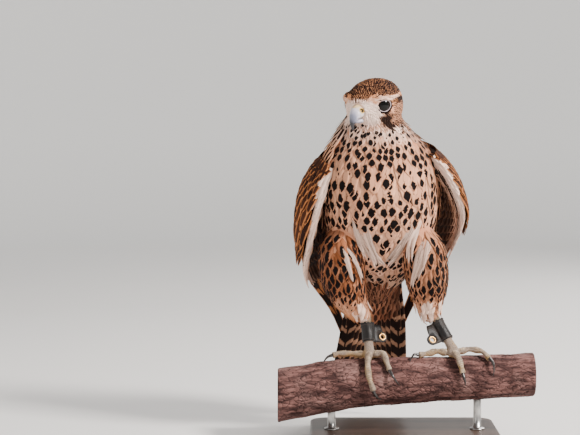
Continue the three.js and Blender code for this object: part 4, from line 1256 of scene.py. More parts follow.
def build_tail():
    """Twelve barred tail feathers, with brown coverts above the root and soft pale ones below."""
    rng = np.random.default_rng(plumage().seed + 29)
    root, tip = place(TAIL["root"]), place(TAIL["tip"])
    way = unit(tip - root)
    across = unit(np.array([1.0, 0, 0]) - way * way[0])
    back = np.cross(way, across)
    back = -back if back[1] < 0 else back
    feathers, above, below = Coat(7, 20), Coat(5, 9), Coat(5, 10)

    def feather(coat, share, reach, width, lifts, spread, point=9, ragged=0.04, curl=0.0, mark=1.0):
        t = np.linspace(0, 1, coat.stations)
        s = mix(reach[0], reach[1], t)
        out = share * mix(TAIL["base"], spread, s)
        lift = mix(lifts[0], lifts[1], t) - 7 * share * share * s + curl * t**3
        spine = root + np.outer(s * TAIL["length"] * MM, way)
        spine = spine + np.outer(out * MM, across) + np.outer(lift * MM, back)
        lean = unit(back + across * share * 0.25)
        left, right = outline(coat.stations, point, rng, ragged, 0.6)
        coat.add(
            spine, np.tile(lean, (coat.stations, 1)), left * width * MM, right * width * MM,
            0.08, 0.55 * MM, np.array([0.5 + share * 0.4, 0.1 + 0.3 * reach[0]]),
            (mark, rng.random(), abs(share), 0.0),
        )

    count = 12
    for i in range(count):
        share = 2 * i / (count - 1) - 1
        aside = abs(share)
        lift = 5 * (1 - aside) + (0.45 if share > 0 else 0)
        feather(feathers, share, (-0.02, mix(1, 0.93, aside**2)), 10.5, (lift * 0.4, lift), TAIL["spread"])
    for row, reach in enumerate((0.2, 0.27, 0.34)):
        for i in range(9):
            share = (2 * (i + 0.5 * (row % 2)) / 8.5 - 1) * 0.95
            size = (-0.1 + 0.06 * row, reach - 0.05 * abs(share))
            lifts = (9 - row, 8.6 - 1.3 * row + 0.5 * rng.random())
            feather(above, share, size, 7.4, lifts, 40, point=3.6, ragged=0.12)
    for row, reach in enumerate((0.14, 0.2, 0.26, 0.32)):
        for i in range(9):
            share = (2 * (i + 0.5 * (row % 2)) / 8.5 - 1) * 0.9
            size = (-0.1 + 0.07 * row, reach - 0.06 * abs(share) + 0.04 * rng.random())
            lifts = (-9 + row, -7 + 1.1 * row - 2.2 * rng.random())
            curl, mark = -2 * rng.random(), 0.5 + 0.5 * rng.random()
            feather(below, share, size, 7.5, lifts, 36, point=2.4, ragged=0.7, curl=curl, mark=mark)
    rump = Path([root - way * 0.026, root + way * 0.002, root + way * 0.044])
    rings = rings_along(rump, lambda t, a: mix(17, 4, t) * (0.72 + 0.28 * math.cos(a) ** 2) * MM, 24, 12)
    flesh = closed("root", lofted(rings))
    return [
        feathers.piece("tail_feathers", "tail", "tail_feathers", "tail"),
        above.piece("tail_coverts", "covert", "tail_feathers", "tail"),
        below.piece("tail_fluff", "undertail", "tail_feathers", "tail"),
        declare(new_object("tail_root", flesh, made["under_finish"]), "tail_feathers", "tail"),
    ]


# Kinds of feather finish: title, ground, deep and edge colour, and what is drawn on them.
FEATHERS = {
    "breast": ("Breast feathers", "cream", "brown", "peach", {"drop": (0.78, 0.66, 0.2), "soft": 0.1}),
    "mantle": ("Mantle feathers", "rufous", "umber", "buff", {"rim": 0.3, "waver": 0.4}),
    "shoulder": ("Shoulder feathers", "cream", "umber", "buff", {"streak": 0.62, "waver": 0.5}),
    "cap": ("Cap feathers", "buff", "umber", "cream", {"streak": 0.9, "soft": 0.1}),
    "face": ("Face feathers", "cream", "umber", "peach", {"streak": 0.62, "soft": 0.1}),
    "thigh": ("Thigh feathers", "cream", "rufous", "peach", {"drop": (0.72, 0.62, 0.3), "soft": 0.1}),
    "flight": ("Flight feathers", "brown", "umber", "buff", {"rim": 0.12, "bars": (7, 0.2), "waver": 0.2}),
    "covert": ("Wing coverts", "rufous", "umber", "buff", {"rim": 0.34, "waver": 0.3}),
    "undertail": ("Undertail coverts", "peach", "brown", "cream", {"streak": 0.45}),
    "band": ("Pale edge feathers", "white", "brown", "cream", {"drop": (0.8, 0.6, 0.2), "soft": 0.12}),
    "underwing": ("Underwing coverts", "cream", "brown", "white", {"streak": 0.5}),
    "tail": (
        "Tail feathers", "brown", "umber", "cream",
        {"edge_share": 0.55, "rim": 0.05, "bars": (9, 0.24), "waver": 0.12},
    ),
    "plume": ("Flank plumes", "white", "brown", "cream", {"streak": 0.5, "soft": 0.14}),
    "loose": ("Loose rufous feathers", "buff", "rufous", "cream", {"soft": 0.16}),
}


def feather_finishes():
    for kind, (title, ground, deep, edge, look) in FEATHERS.items():
        made[kind + "_finish"] = feather_finish(title, ground, deep, edge, **look)
    under = Finish("Wing lining", Roughness=0.85)
    made["under_finish"] = under.done(under.blend(under.noise(80.0), dye("umber"), dye("brown")))


# Long soft plumes from the flanks over the thighs' inner sides: how many, where they start and end.
FLANK_PLUMES = [
    (8, (-46, -62, 156), (-34, -50, 112)),
    (11, (-30, -62, 150), (-10, -45, 100)),
    (7, (64, -48, 160), (52, -52, 114)),
    (12, (52, -56, 158), (32, -44, 100)),
]


def build_loose_feathers():
    """Soft pale feathers that hang over the tops of the legs, and rufous ones behind the thighs."""
    rng = np.random.default_rng(plumage().seed + 41)
    pale, rufous, vent, plumes = Coat(5, 10), Coat(5, 10), Coat(5, 10), Coat(7, 14)
    for side in "rl":
        rows, surface = THIGH[side], made["thigh_" + side]
        low = rows[0][0]
        for _ in range(46):
            turn = rng.uniform(-math.pi, math.pi)
            z = low + rng.uniform(10, 34)
            root, _ = surface.cast(place((*along(rows, z)[:2], z)), level(turn))
            if root is None:
                continue
            behind = math.sin(turn) > 0.15 or (side == "r" and math.cos(turn) < -0.2)
            lay(
                rufous if behind else pale, surface, root, thigh_down,
                rng.uniform(17, 34 if behind else 26) * MM, rng.uniform(7, 10) * MM, rng,
                low=-0.5, high=rng.uniform(2.5, 5.5), curl=rng.uniform(-2, 2.5), ragged=0.9,
                point=2.2, arch=0.3, bake=bake_place(turn, z, low, 170),
                mark=0.0, tint=rng.random(), tone=0.6 * behind * rng.random(),
            )
    for count, start, end in FLANK_PLUMES:
        for _ in range(count):
            root = place(np.array(start) + rng.uniform(-7, 7, 3))
            tip = place(np.array(end) + rng.uniform(-7, 7, 3))
            grey = 0.5 * rng.random()
            lay(
                plumes, made["skin"], root, lambda point: tip - root, np.linalg.norm(tip - root),
                rng.uniform(5.5, 8.5) * MM, rng,
                low=0.4, high=rng.uniform(3.0, 5.5), curl=rng.uniform(-1.5, 1), ragged=0.5,
                point=2.0, arch=0.3, bake=bake_place(start[0] / 80, start[2], *BODY_SPAN),
                mark=0.3 * grey, tint=rng.random(), tone=grey,
            )
    for _ in range(90):
        x, z = rng.uniform(-34, 36), rng.uniform(58, 92)
        turn = math.atan2(-1, x / 34)
        row = along(BODY, z)
        root, _ = made["body"].cast(place((row[0] + x * 0.4, row[1], z)), level(turn))
        if root is None or inside_thigh(root) > 0.3:
            continue
        lay(
            vent, made["body"], root, down, rng.uniform(18, 26) * MM, rng.uniform(8, 11) * MM, rng,
            low=-0.5, high=rng.uniform(1.5, 3.5), curl=rng.uniform(-1, 2), ragged=0.7, point=2.2, arch=0.3,
            bake=bake_place(turn, z, *BODY_SPAN), mark=rng.uniform(0.5, 1.0), tint=rng.random(), tone=0.45,
        )
    return [
        pale.piece("loose_pale_feathers", "band"),
        plumes.piece("flank_plumes", "plume"),
        vent.piece("vent_feathers", "undertail"),
        rufous.piece("loose_rufous_feathers", "loose"),
    ]


# Eyes and bill


def eye_axis(side):
    """Where an eye's middle is, which way it looks, and the two directions across it."""
    toe = math.radians(EYE["toe"])
    middle = eye_middle(side)
    out = unit(np.array([math.sin(toe), side * math.cos(toe), 0.03]) @ HEAD_AXES)
    across = unit(np.cross(HEAD_AXES[2], out))
    return middle, out, across, np.cross(out, across)


def turned_rings(middle, axis, across, up, profile, sides, shape=lambda k, a: (1.0, 0.0)):
    """Rings of a turned form round an axis. shape(k, angles) gives a scale and a shift along the axis."""
    angles = circle(sides)
    rings = []
    for k, (radius, height) in enumerate(profile):
        scale, shift = shape(k, angles)
        out = (radius * scale * MM * np.ones(sides))[:, None]
        rings.append(
            middle
            + across * np.cos(angles)[:, None] * out
            + up * np.sin(angles)[:, None] * out
            + axis * ((height + shift) * MM * np.ones(sides))[:, None]
        )
    return np.array(rings)


def round_about(rings):
    """Vertices and faces of rings that close on themselves both ways."""
    count, sides = rings.shape[:2]
    faces = [tuple(k % (count * sides) for k in face) for face in ring_faces(count + 1, sides)]
    return [v for ring in rings for v in ring], faces


def with_share(mesh, title, shares):
    """Gives a mesh one number per vertex."""
    layer = mesh.attributes.new(title, "FLOAT", "POINT")
    layer.data.foreach_set("value", np.asarray(shares, np.float32))
    return mesh


def eye_finish():
    f = Finish("Eye", Roughness=0.03, IOR=1.34, Specular_IOR_Level=0.4)
    share = f.share("Round")
    iris = f.blend(f.noise(900.0), (0.004, 0.002, 0.001), (0.010, 0.005, 0.003))
    return f.done(f.blend(f.step(share, 0.2, 0.23), (0.001, 0.001, 0.001), iris))


def lid_finish():
    f = Finish("Eyelid", Roughness=0.55, Specular_IOR_Level=0.4)
    grain = f.cells(1100.0)
    colour = f.blend(f.noise(300.0), (0.46, 0.36, 0.40), (0.74, 0.62, 0.64))
    inner = f.share("Edge")
    colour = f.blend(f.step(inner, 0.4, 0.9), colour, (0.02, 0.012, 0.012))
    f.bump(grain, 0.0004, 0.8)
    return f.done(colour)


def build_eyes():
    """Dark, glossy eyes inside bare, finely wrinkled lids."""
    finish, lid = eye_finish(), lid_finish()
    pieces = []
    for name, side in (("l", 1), ("r", -1)):
        middle, out, across, up = eye_axis(side)
        shares = np.linspace(0.02, 0.98, 40)
        radius = EYE["radius"]
        profile = [
            (radius * math.sin(math.pi * s), radius * mix(0.8, 1, s) * math.cos(math.pi * s)) for s in shares
        ]
        mesh = closed("eye_" + name, lofted(turned_rings(middle, out, across, up, profile, 64)))
        round_share = [
            math.acos(max(-1, min(1, float(unit(np.array(v.co) - middle).dot(out))))) / math.pi
            for v in mesh.vertices
        ]
        with_share(mesh, "Round", round_share)
        ball = new_object("eye_" + name, mesh, finish)
        pieces.append(declare(ball, "eye", "eye_" + name))
        pieces.append(declare(build_lid(name, side, middle, out, across, up, lid), "foot_skin"))
    return pieces


def build_lid(name, side, middle, out, across, up, finish):
    inner = EYE["radius"] - 1.8
    outer = 11.6
    steps = 18
    profile = []
    for k in range(steps):
        t = k / (steps - 1)
        radius = mix(inner, outer, t)
        profile.append((radius, 5.8 - 6.2 * t**3 - 0.9 * (1 - t) ** 3))
    profile += [(outer - 0.6, -1.2), (inner - 0.4, 2.6)]

    def shape(k, angles):
        t = min(1.0, k / (steps - 1))
        folds = 0.16 * math.sin(math.pi * t) * np.sin(46 * angles + 5 * np.sin(3 * angles))
        creases = 0.22 * np.sin(9.5 * t + 1.2 * np.sin(angles * 2)) * math.sin(math.pi * t)
        brow = np.clip(np.sin(angles), 0, 1) ** 2
        squeeze = 1 - (0.34 * brow + 0.04 * np.clip(-np.sin(angles), 0, 1) ** 2) * (1 - t)
        return squeeze, folds + creases + 1.5 * brow * (1 - t)

    sides = 128
    rings = turned_rings(middle, out, across, up, profile, sides, shape)
    mesh = mesh_from("lid_" + name, *round_about(rings))
    edge = [1.0 if k < 2 or k > steps else 0.0 for k in range(len(profile))]
    with_share(mesh, "Edge", np.repeat(edge, sides))
    return new_object("lid_" + name, outward(mesh), finish)


# The upper bill's ridge and cutting edge from the cere to the hook, and its half width, in the head's terms.
RIDGE = [
    (27, 7), (31, 7.7), (36, 7.5), (41.5, 5.7), (46.4, 1.4), (50, -5), (51.8, -11), (51.6, -16), (50.2, -20),
    (48.5, -22),
]
CUTTING_EDGE = [
    (24, -10), (30, -9), (35.5, -8.6), (40, -8.6), (43.6, -10.2), (45.6, -13.4), (46.6, -12.6), (47.8, -16),
    (48.1, -19.6), (48.2, -21.9),
]
BILL_HALF = [11, 9.6, 8.9, 7.8, 6.3, 4.7, 3.5, 2.4, 1.3, 0.25]
LOWER_BILL = [
    (27, 9.2, -9.2, -17.6),
    (30, 8.6, -8.9, -16.8),
    (34, 7.4, -8.7, -15.6),
    (39, 5.6, -8.9, -14.2),
    (43, 3.6, -10, -13.6),
    (45.4, 1.8, -11.4, -13.2),
]
NOSTRIL = (37.2, 1.4)


def bill_rings(low, high, steps, swell, sides=72):
    """Rings of the upper bill between two shares of its length."""
    ridge = Path([(*p, 0) for p in RIDGE])
    edge = Path([(*p, 0) for p in CUTTING_EDGE])
    half = Path([(w, 0, 0) for w in BILL_HALF])
    rings, shares = [], []
    angles = circle(sides)
    for i in range(steps + 1):
        t = mix(low, high, i / steps)
        top, bottom, width = ridge.at(t)[:2], edge.at(t)[:2], half.at(t)[0]
        lift = np.sin(angles)
        drop = 0.5 - 0.5 * np.where(lift < 0, -np.abs(lift) ** 0.72, lift)
        out = np.cos(angles) * np.where(lift > 0, 1 - 0.2 * lift, 1)
        middle = mix(top[None], bottom[None], drop[:, None])
        wide = width * out * np.where(lift < 0, np.abs(np.cos(angles)) ** 0.12, 1)
        points = np.stack([middle[:, 0], wide, middle[:, 1]], 1)
        away = points - np.array([*(0.5 * (top + bottom)), 0])[[0, 2, 1]]
        points = points + unit(away) * swell(t, points)[:, None]
        rings.append(in_head(points))
        shares.extend([t] * sides)
    return np.array(rings), shares


def build_bill():
    """The hooked, toothed upper bill, the cere with its nostrils, and the lower bill."""
    split = 0.345
    nostril = np.array(NOSTRIL)

    def cere_swell(t, points):
        reach = np.linalg.norm(points[:, [0, 2]] - nostril, axis=1)
        beside = np.abs(points[:, 1]) > 4
        rim = 0.4 * np.exp(-(((reach - 2.9) / 0.6) ** 2))
        pit = -2.2 * smooth(2.6 - reach, 0, 1.1) + 1.3 * smooth(1.1 - reach, 0, 0.8)
        edge = np.clip((split - t) / 0.03, 0, 1)
        return beside * (rim + pit) + 0.45 * edge**0.5 + 0.03 * np.sin(points[:, 0] * 5)

    horn_rings, horn_shares = bill_rings(split - 0.03, 1.0, 90, lambda t, points: np.zeros(len(points)))
    cere_rings, _ = bill_rings(0.0, split, 80, cere_swell, 200)
    horn = horn_finish()
    mesh = mesh_from("bill_upper", *lofted(horn_rings))
    with_share(mesh, "Along", [*horn_shares, split, 1.0])
    bill = new_object("bill_upper", outward(mesh), horn)
    mesh = closed("cere", lofted(cere_rings))
    terms = np.array([head_terms(v.co) for v in mesh.vertices])
    reach = np.linalg.norm(terms[:, [0, 2]] - nostril, axis=1)
    with_share(mesh, "Pit", smooth(2.5 - reach, 0, 0.4) * smooth(reach, 0.5, 0.9))
    above = smooth(terms[:, 2], 4.4, 6.6) * smooth(terms[:, 0], 31, 35)
    with_share(mesh, "Rim", np.clip(smooth(4.1 - reach, 0, 1.2) + 0.7 * above, 0, 1))
    cere = new_object("cere", mesh, cere_finish())
    lower = new_object("bill_lower", build_lower_bill(), horn)
    return [
        declare(bill, "bill", "bill_upper"),
        declare(cere, "cere", "cere"),
        declare(lower, "bill", "bill_lower"),
    ]


def build_lower_bill():
    sides, steps = 48, 40
    rings, shares = [], []
    angles = circle(sides)
    low, high = LOWER_BILL[0][0], LOWER_BILL[-1][0]
    for i in range(steps + 1):
        forward = mix(low, high, i / steps)
        width, top, bottom = along(LOWER_BILL, forward)
        close = 1 - 0.75 * (i / steps) ** 8
        lift = np.sin(angles)
        up = (top + bottom) / 2 + (top - bottom) / 2 * close * np.where(lift > 0, lift**0.6, lift)
        rings.append(in_head(np.stack([np.full(sides, forward), width * close * np.cos(angles), up], 1)))
        shares.extend([0.3 + 0.2 * i / steps] * sides)
    mesh = mesh_from("bill_lower", *lofted(np.array(rings)))
    with_share(mesh, "Along", [*shares, 0.3, 0.5])
    return outward(mesh)


def horn_finish():
    f = Finish("Bill horn", Roughness=0.3, Specular_IOR_Level=0.5, Coat_Weight=0.25, Coat_Roughness=0.2)
    share = f.share("Along")
    share = f.math("ADD", share, f.times(f.math("SUBTRACT", f.noise(160.0), 0.5), 0.12))
    colour = f.blend(f.step(share, 0.36, 0.52), (0.60, 0.55, 0.61), (0.27, 0.28, 0.38))
    colour = f.blend(f.step(share, 0.46, 0.68), colour, (0.012, 0.012, 0.017))
    f.bump(f.noise(520.0, stretch=(1, 1, 0.35)), 0.00012, 0.5)
    return f.done(colour)


def cere_finish():
    f = Finish("Cere", Roughness=0.45, Specular_IOR_Level=0.5, Subsurface_Weight=0.05)
    pit = f.share("Pit")
    rim = f.share("Rim")
    colour = f.blend(f.noise(220.0), (0.60, 0.52, 0.50), (0.68, 0.62, 0.60))
    colour = f.blend(rim, colour, (0.62, 0.36, 0.06))
    # The nostril's opening round its tubercle is painted near black: painted shade inside the hole.
    colour = f.blend(pit, colour, (0.02, 0.012, 0.01))
    f.bump(f.cells(1400.0), 0.0002, 0.5)
    return f.done(colour)


# Feet


def bark_swell(x, a):
    """The log's broad form: long flutes and slow waves, as a share of its radius."""
    flutes = 0.022 * np.sin(3 * a + x * 0.012) + 0.016 * np.sin(5 * a - x * 0.02 + 1)
    waves = 0.014 * np.sin(x * 0.07 + 2 * a) + 0.01 * np.sin(x * 0.17 + a + 2)
    return 1 + flutes + waves - 0.03


def perch_point(x, degrees, lift):
    z, r = along(PERCH, x)
    a = math.radians(degrees)
    reach = r * bark_swell(x, a) + lift
    return place((x, -reach * math.sin(a), z + reach * math.cos(a)))


def off_log(point):
    """The direction from the log's middle line to a place."""
    x = point[0] / MM - BIRD[0]
    z, _ = along(PERCH, x)
    return unit((point - place((x, 0, z))) * (0, 1, 1))


def toe_path(side, toe):
    foot = FEET[side]
    return Path([perch_point(*foot["pad"])] + [perch_point(*p) for p in foot["toes"][toe]])


def toe_rings(path, radius, sides=20, steps=40):
    """Rings round a toe: flat-backed above, with a full pad under each joint."""
    rings = []
    for i in range(steps + 1):
        t = i / steps
        middle, way = path.at(t), path.way(t)
        up = off_log(middle)
        up = unit(up - way * way.dot(up))
        side = np.cross(way, up)
        joint = math.cos(2 * math.pi * 3 * t + 0.4)
        wide = radius * (0.92 + 0.09 * joint - 0.24 * t)
        pad = radius * (1.02 + 0.2 * joint - 0.2 * t)
        back = radius * (0.88 + 0.08 * joint - 0.24 * t)
        a = circle(sides)
        lift = np.where(np.sin(a) > 0, back, pad) * np.sin(a)
        rings.append(middle + side * (wide * np.cos(a) * MM)[:, None] + up * (lift * MM)[:, None])
    return np.array(rings)


def shank_path(side):
    foot = FEET[side]
    hock, pad = place(foot["hock"]), perch_point(foot["pad"][0], foot["pad"][1], foot["pad"][2] + 3)
    return Path([hock, mix(hock, pad, 0.5), pad])


def ball(middle, radii, sides=24, steps=16):
    rings = []
    for i in range(1, steps):
        lift = math.pi * i / steps
        a = circle(sides)
        ring = np.stack([np.cos(a) * math.sin(lift), np.sin(a) * math.sin(lift), 0 * a + math.cos(lift)], 1)
        rings.append(middle + ring * np.array(radii) * MM)
    return lofted(np.array(rings))


def foot_finish():
    """Scaly skin: greyish cream above, yellow at the pads and joints, dark between the scales."""
    f = Finish("Foot skin", Roughness=0.55, Specular_IOR_Level=0.4)
    grain = f.cells(900.0, "DISTANCE_TO_EDGE")
    tone = f.noise(60.0)
    colour = f.blend(f.step(tone, 0.48, 0.7), (0.30, 0.225, 0.175), (0.42, 0.25, 0.08))
    under = f.share("Under")
    colour = f.blend(under, colour, (0.44, 0.22, 0.04))
    colour = f.blend(f.step(grain, 0.07, 0.0), colour, (0.07, 0.045, 0.03))
    f.bump(f.step(grain, 0.0, 0.25), 0.0004, 0.9)
    return f.done(colour)


def scute_finish():
    f = Finish("Toe scutes", Roughness=0.45, Specular_IOR_Level=0.45)
    colour = f.blend(f.step(f.noise(150.0), 0.35, 0.65), (0.17, 0.12, 0.085), (0.46, 0.35, 0.24))
    f.bump(f.noise(1500.0), 0.0001, 0.4)
    return f.done(colour)


def claw_finish():
    f = Finish("Claw", Roughness=0.28, Coat_Weight=0.3, Coat_Roughness=0.15)
    return f.done(f.blend(f.noise(260.0), (0.006, 0.005, 0.005), (0.028, 0.022, 0.02)))


def repeat_tree(title, wander):
    """A node tree that sets one piece at every point, turned to the point's way and up, and scaled."""
    tree = bpy.data.node_groups.new(title, "GeometryNodeTree")
    for name, kind in (
        ("Geometry", "Geometry"), ("Piece", "Object"), ("Size", "Float"), ("Size spread", "Float"),
        ("Seed", "Int"), ("Finish", "Material"),
    ):
        tree.interface.new_socket(name, in_out="INPUT", socket_type="NodeSocket" + kind)
    tree.interface.new_socket("Geometry", in_out="OUTPUT", socket_type="NodeSocketGeometry")
    g = Nodes(tree)

    def held(name, kind):
        """What each point holds under a name."""
        return g.node("GeometryNodeInputNamedAttribute", {"Name": name}, data_type=kind).outputs["Attribute"]

    given = g.node("NodeGroupInput").outputs
    piece = g.node("GeometryNodeObjectInfo", {"Object": given["Piece"]}).outputs["Geometry"]
    lie = {"Primary Axis": held("up", "FLOAT_VECTOR"), "Secondary Axis": held("way", "FLOAT_VECTOR")}
    turn = g.node("FunctionNodeAxesToRotation", lie, primary_axis="Z", secondary_axis="X").outputs[0]
    draw = {"Min": 1 - wander, "Max": 1 + wander, "Seed": given["Seed"]}
    drawn = g.node("FunctionNodeRandomValue", draw, data_type="FLOAT").outputs["Value"]
    spread = g.scaled(g.math("SUBTRACT", drawn, 1.0), given["Size spread"], 1.0)
    size = g.times(g.times(spread, held("width", "FLOAT")), given["Size"])
    spots = {"Points": given["Geometry"], "Instance": piece, "Rotation": turn, "Scale": size}
    copies = g.node("GeometryNodeInstanceOnPoints", spots).outputs["Instances"]
    real = g.node("GeometryNodeRealizeInstances", {"Geometry": copies}).outputs["Geometry"]
    paint = g.node("GeometryNodeSetMaterial", {"Geometry": real, "Material": given["Finish"]})
    g.node("NodeGroupOutput", {"Geometry": paint.outputs["Geometry"]})
    return tree


def repeated(name, spots, piece_mesh, finish):
    """One object with a piece at every spot. A spot is a place, an up, a way and a width."""
    mesh = bpy.data.meshes.new(name)
    mesh.from_pydata([tuple(s[0]) for s in spots], [], [])
    for title, column in (("up", 1), ("way", 2)):
        layer = mesh.attributes.new(title, "FLOAT_VECTOR", "POINT")
        layer.data.foreach_set("vector", np.array([s[column] for s in spots], np.float32).ravel())
    with_share(mesh, "width", [s[3] for s in spots])
    target = new_object(name, mesh)
    piece = bpy.data.objects.new(name + " piece", piece_mesh)
    tree = repeat_tree(name + " layout", 0.08)
    repeat = target.modifiers.new("repeat", "NODES")
    repeat.node_group = tree
    sockets = {item.name: item.identifier for item in tree.interface.items_tree if item.in_out == "INPUT"}
    values = {"Piece": piece, "Size": 1.0, "Size spread": 1.0, "Seed": SEED, "Finish": finish}
    for title, value in values.items():
        repeat[sockets[title]] = value
    frozen(target)
    bpy.data.objects.remove(piece)
    return target


def scute_mesh():
    """One arched plate, 1 unit to the toe's half width, that laps over the next towards the claw."""
    arc, long = 10, 4
    verts, faces = [], []
    for skin, lift in ((0, 1.05), (1, 0.86)):
        for i in range(long + 1):
            t = i / long
            for k in range(arc + 1):
                a = math.radians(mix(32, 148, k / arc))
                crown = math.sin(math.pi * k / arc) ** 0.5
                rise = lift + (0.07 * math.sin(math.pi * min(1, t * 0.8 + 0.1)) * crown if skin == 0 else 0)
                verts.append(Vector((mix(-0.24, 0.19, t), rise * math.cos(a), rise * math.sin(a) - 0.06)))
    row = arc + 1
    sheet = row * (long + 1)
    for i in range(long):
        for k in range(arc):
            a = i * row + k
            faces.append((a, a + 1, a + row + 1, a + row))
            b = a + sheet
            faces.append((b, b + row, b + row + 1, b + 1))
    rim = [k for k in range(arc)] + [arc + i * row for i in range(long)]
    rim += [long * row + arc - k for k in range(arc)] + [(long - i) * row for i in range(long)]
    for k, a in enumerate(rim):
        b = rim[(k + 1) % len(rim)]
        faces.append((b, a, a + sheet, b + sheet))
    return outward(mesh_from("scute", verts, faces))


def build_foot(side):
    """One scaly foot with its shank, its toes' scutes and its fine curved claws."""
    foot = FEET[side]
    parts = [ball(perch_point(*foot["pad"]), (9, 9.2, 6.8))]
    parts.append(lofted(rings_along(
        shank_path(side), lambda t, a: (mix(5.1, 5.5, t) + 1.2 * abs(2 * t - 1) ** 3) * MM, 24, 20)))
    spots = []
    for toe, radius in TOE_RADIUS.items():
        path = toe_path(side, toe)
        parts.append(lofted(toe_rings(path, radius)))
        length = sum(np.linalg.norm(path.at((k + 1) / 20) - path.at(k / 20)) for k in range(20))
        count = int(length / (0.4 * radius * MM))
        for k in range(2, count):
            t = mix(0.14, 0.97, (k - 2) / max(1, count - 3))
            middle, way = path.at(t), path.way(t)
            up = off_log(middle)
            up = unit(up - way * way.dot(up))
            joint = math.cos(2 * math.pi * 3 * t + 0.4)
            spots.append((middle, up, way, radius * MM * (0.9 + 0.085 * joint - 0.24 * t)))
    skin = new_object("foot_" + side, closed("foot", *parts), made["foot_finish"])
    evened(skin, 0.65, 0.5, 4)
    facing = [max(0.0, -float(np.array(v.normal).dot(off_log(np.array(v.co))))) for v in skin.data.vertices]
    with_share(skin.data, "Under", np.clip(facing, 0, 1))
    skin.data.materials.clear()
    skin.data.materials.append(made["foot_finish"])
    toes = [f"toe_{side}_{toe}" for toe in TOE_RADIUS]
    declare(skin, "foot_skin", "foot_" + side, "shank_" + side, *toes)
    scutes = repeated("scutes_" + side, spots, scute_mesh(), made["scute_finish"])
    declare(scutes, "foot_skin")
    claws = [build_claw(side, toe) for toe in TOE_RADIUS]
    return [skin, scutes, *claws]


def build_claw(side, toe):
    path = toe_path(side, toe)
    points = [perch_point(*p) for p in FEET[side]["claws"][toe]]
    way = Path([path.at(0.93), path.at(1), *points])

    def radius(t, a):
        return mix(3.25, 0.3, t**0.85) * (1 - 0.1 * max(0, math.sin(a))) * MM

    name = f"claw_{side}_{toe}"
    piece = new_object(name, closed("claw", lofted(rings_along(way, radius, 20, 30))), made["claw_finish"])
    return declare(piece, "claw", name)


def foot_finishes():
    made["foot_finish"] = foot_finish()
    made["scute_finish"] = scute_finish()
    made["claw_finish"] = claw_finish()


# Anklets


ANKLET = {"low": 0.26, "high": 0.74, "radius": 7.6, "thick": 1.5, "flap": 19, "eyelet": 4.6}


def anklet_axes(side):
    """The middle of an anklet, its outward, crossing and upward axes, and its height in millimetres."""
    foot = FEET[side]
    low = perch_point(foot["pad"][0], foot["pad"][1], foot["pad"][2] + 3)
    high = place(foot["hock"])
    bottom, top = mix(low, high, ANKLET["low"]), mix(low, high, ANKLET["high"])
    up = unit(top - bottom)
    out = np.array([-0.72, -0.25, 0]) if side == "l" else np.array([0.62, 0.3, 0])
    out = unit(out - up * up.dot(out))
    return (bottom + top) / 2, np.stack([out, np.cross(up, out), up]), np.linalg.norm(top - bottom) / MM


def anklet_band(middle, axes, height):
    """The leather round the shank, with a cut fringe standing out at its top."""
    r, thick = ANKLET["radius"], ANKLET["thick"]
    low, high = -height / 2, height / 2
    profile = [
        (r - thick, low), (r - 0.3, low), (r, low + 0.3), (r + 0.3, low + 1.4), (r + 0.1, 0),
        (r + 0.3, high - 2.4), (r + 0.9, high - 1), (r + 1.2, high - 0.2), (r + 0.9, high), (r - 0.3, high),
        (r - thick + 0.2, high - 1), (r - thick, 0),
    ]

    def shape(k, angles):
        fringe = np.maximum(0, np.sin(11 * angles)) ** 0.5 if 6 <= k <= 9 else 0 * angles
        return 1 - 0.035 * fringe, -1.1 * fringe

    return round_about(turned_rings(middle, axes[2], axes[0], axes[1], profile, 132, shape))


def anklet_flap(middle, axes, height):
    """The strap's doubled end, from the band out round the eyelet, with a hole through it."""
    r, thick = ANKLET["radius"], 2.4
    centre = np.array([r + ANKLET["flap"] - 7, -height / 2 + 7])
    hole = ANKLET["eyelet"] - 0.6
    sides = 96
    angles = circle(sides)
    reach = []
    for a in angles:
        c, s = math.cos(a), math.sin(a)
        limit = 6.9
        if c < 0:
            wall = (centre[0] - (r - 1)) / -c
            edge = height / 2 - 1.2 if s > 0 else 0.2 - height / 2
            limit = min(wall, max(6.9, (edge - centre[1]) / s if s else 99))
        reach.append(limit)
    reach = np.array(reach)
    reach = (reach + np.roll(reach, 1) + np.roll(reach, -1)) / 3
    rings = []
    for lift, share, inset_edge in (
        (0.5, 0, 0), (0.5, 0.5, 0), (0.5, 1, 0.5), (0.3, 1, 0.08), (0, 1, 0),
        (-0.3, 1, 0.08), (-0.5, 1, 0.5), (-0.5, 0.5, 0), (-0.5, 0, 0),
    ):
        distance = mix(hole, reach - inset_edge, share)
        spot = centre + np.stack([np.cos(angles), np.sin(angles)], 1) * distance[:, None]
        rings.append(middle + (spot[:, :1] * axes[0] + spot[:, 1:] * axes[2] + lift * thick * axes[1]) * MM)
    return round_about(np.array(rings)), centre


def leather_finish():
    f = Finish("Anklet leather", Roughness=0.5, Specular_IOR_Level=0.3)
    grain = f.cells(850.0)
    worn = f.step(f.noise(110.0), 0.5, 0.72)
    colour = f.blend(worn, (0.006, 0.005, 0.005), (0.026, 0.017, 0.014))
    f.bump(grain, 0.0003, 0.7)
    return f.done(colour, f.scaled(worn, 0.18, 0.46))


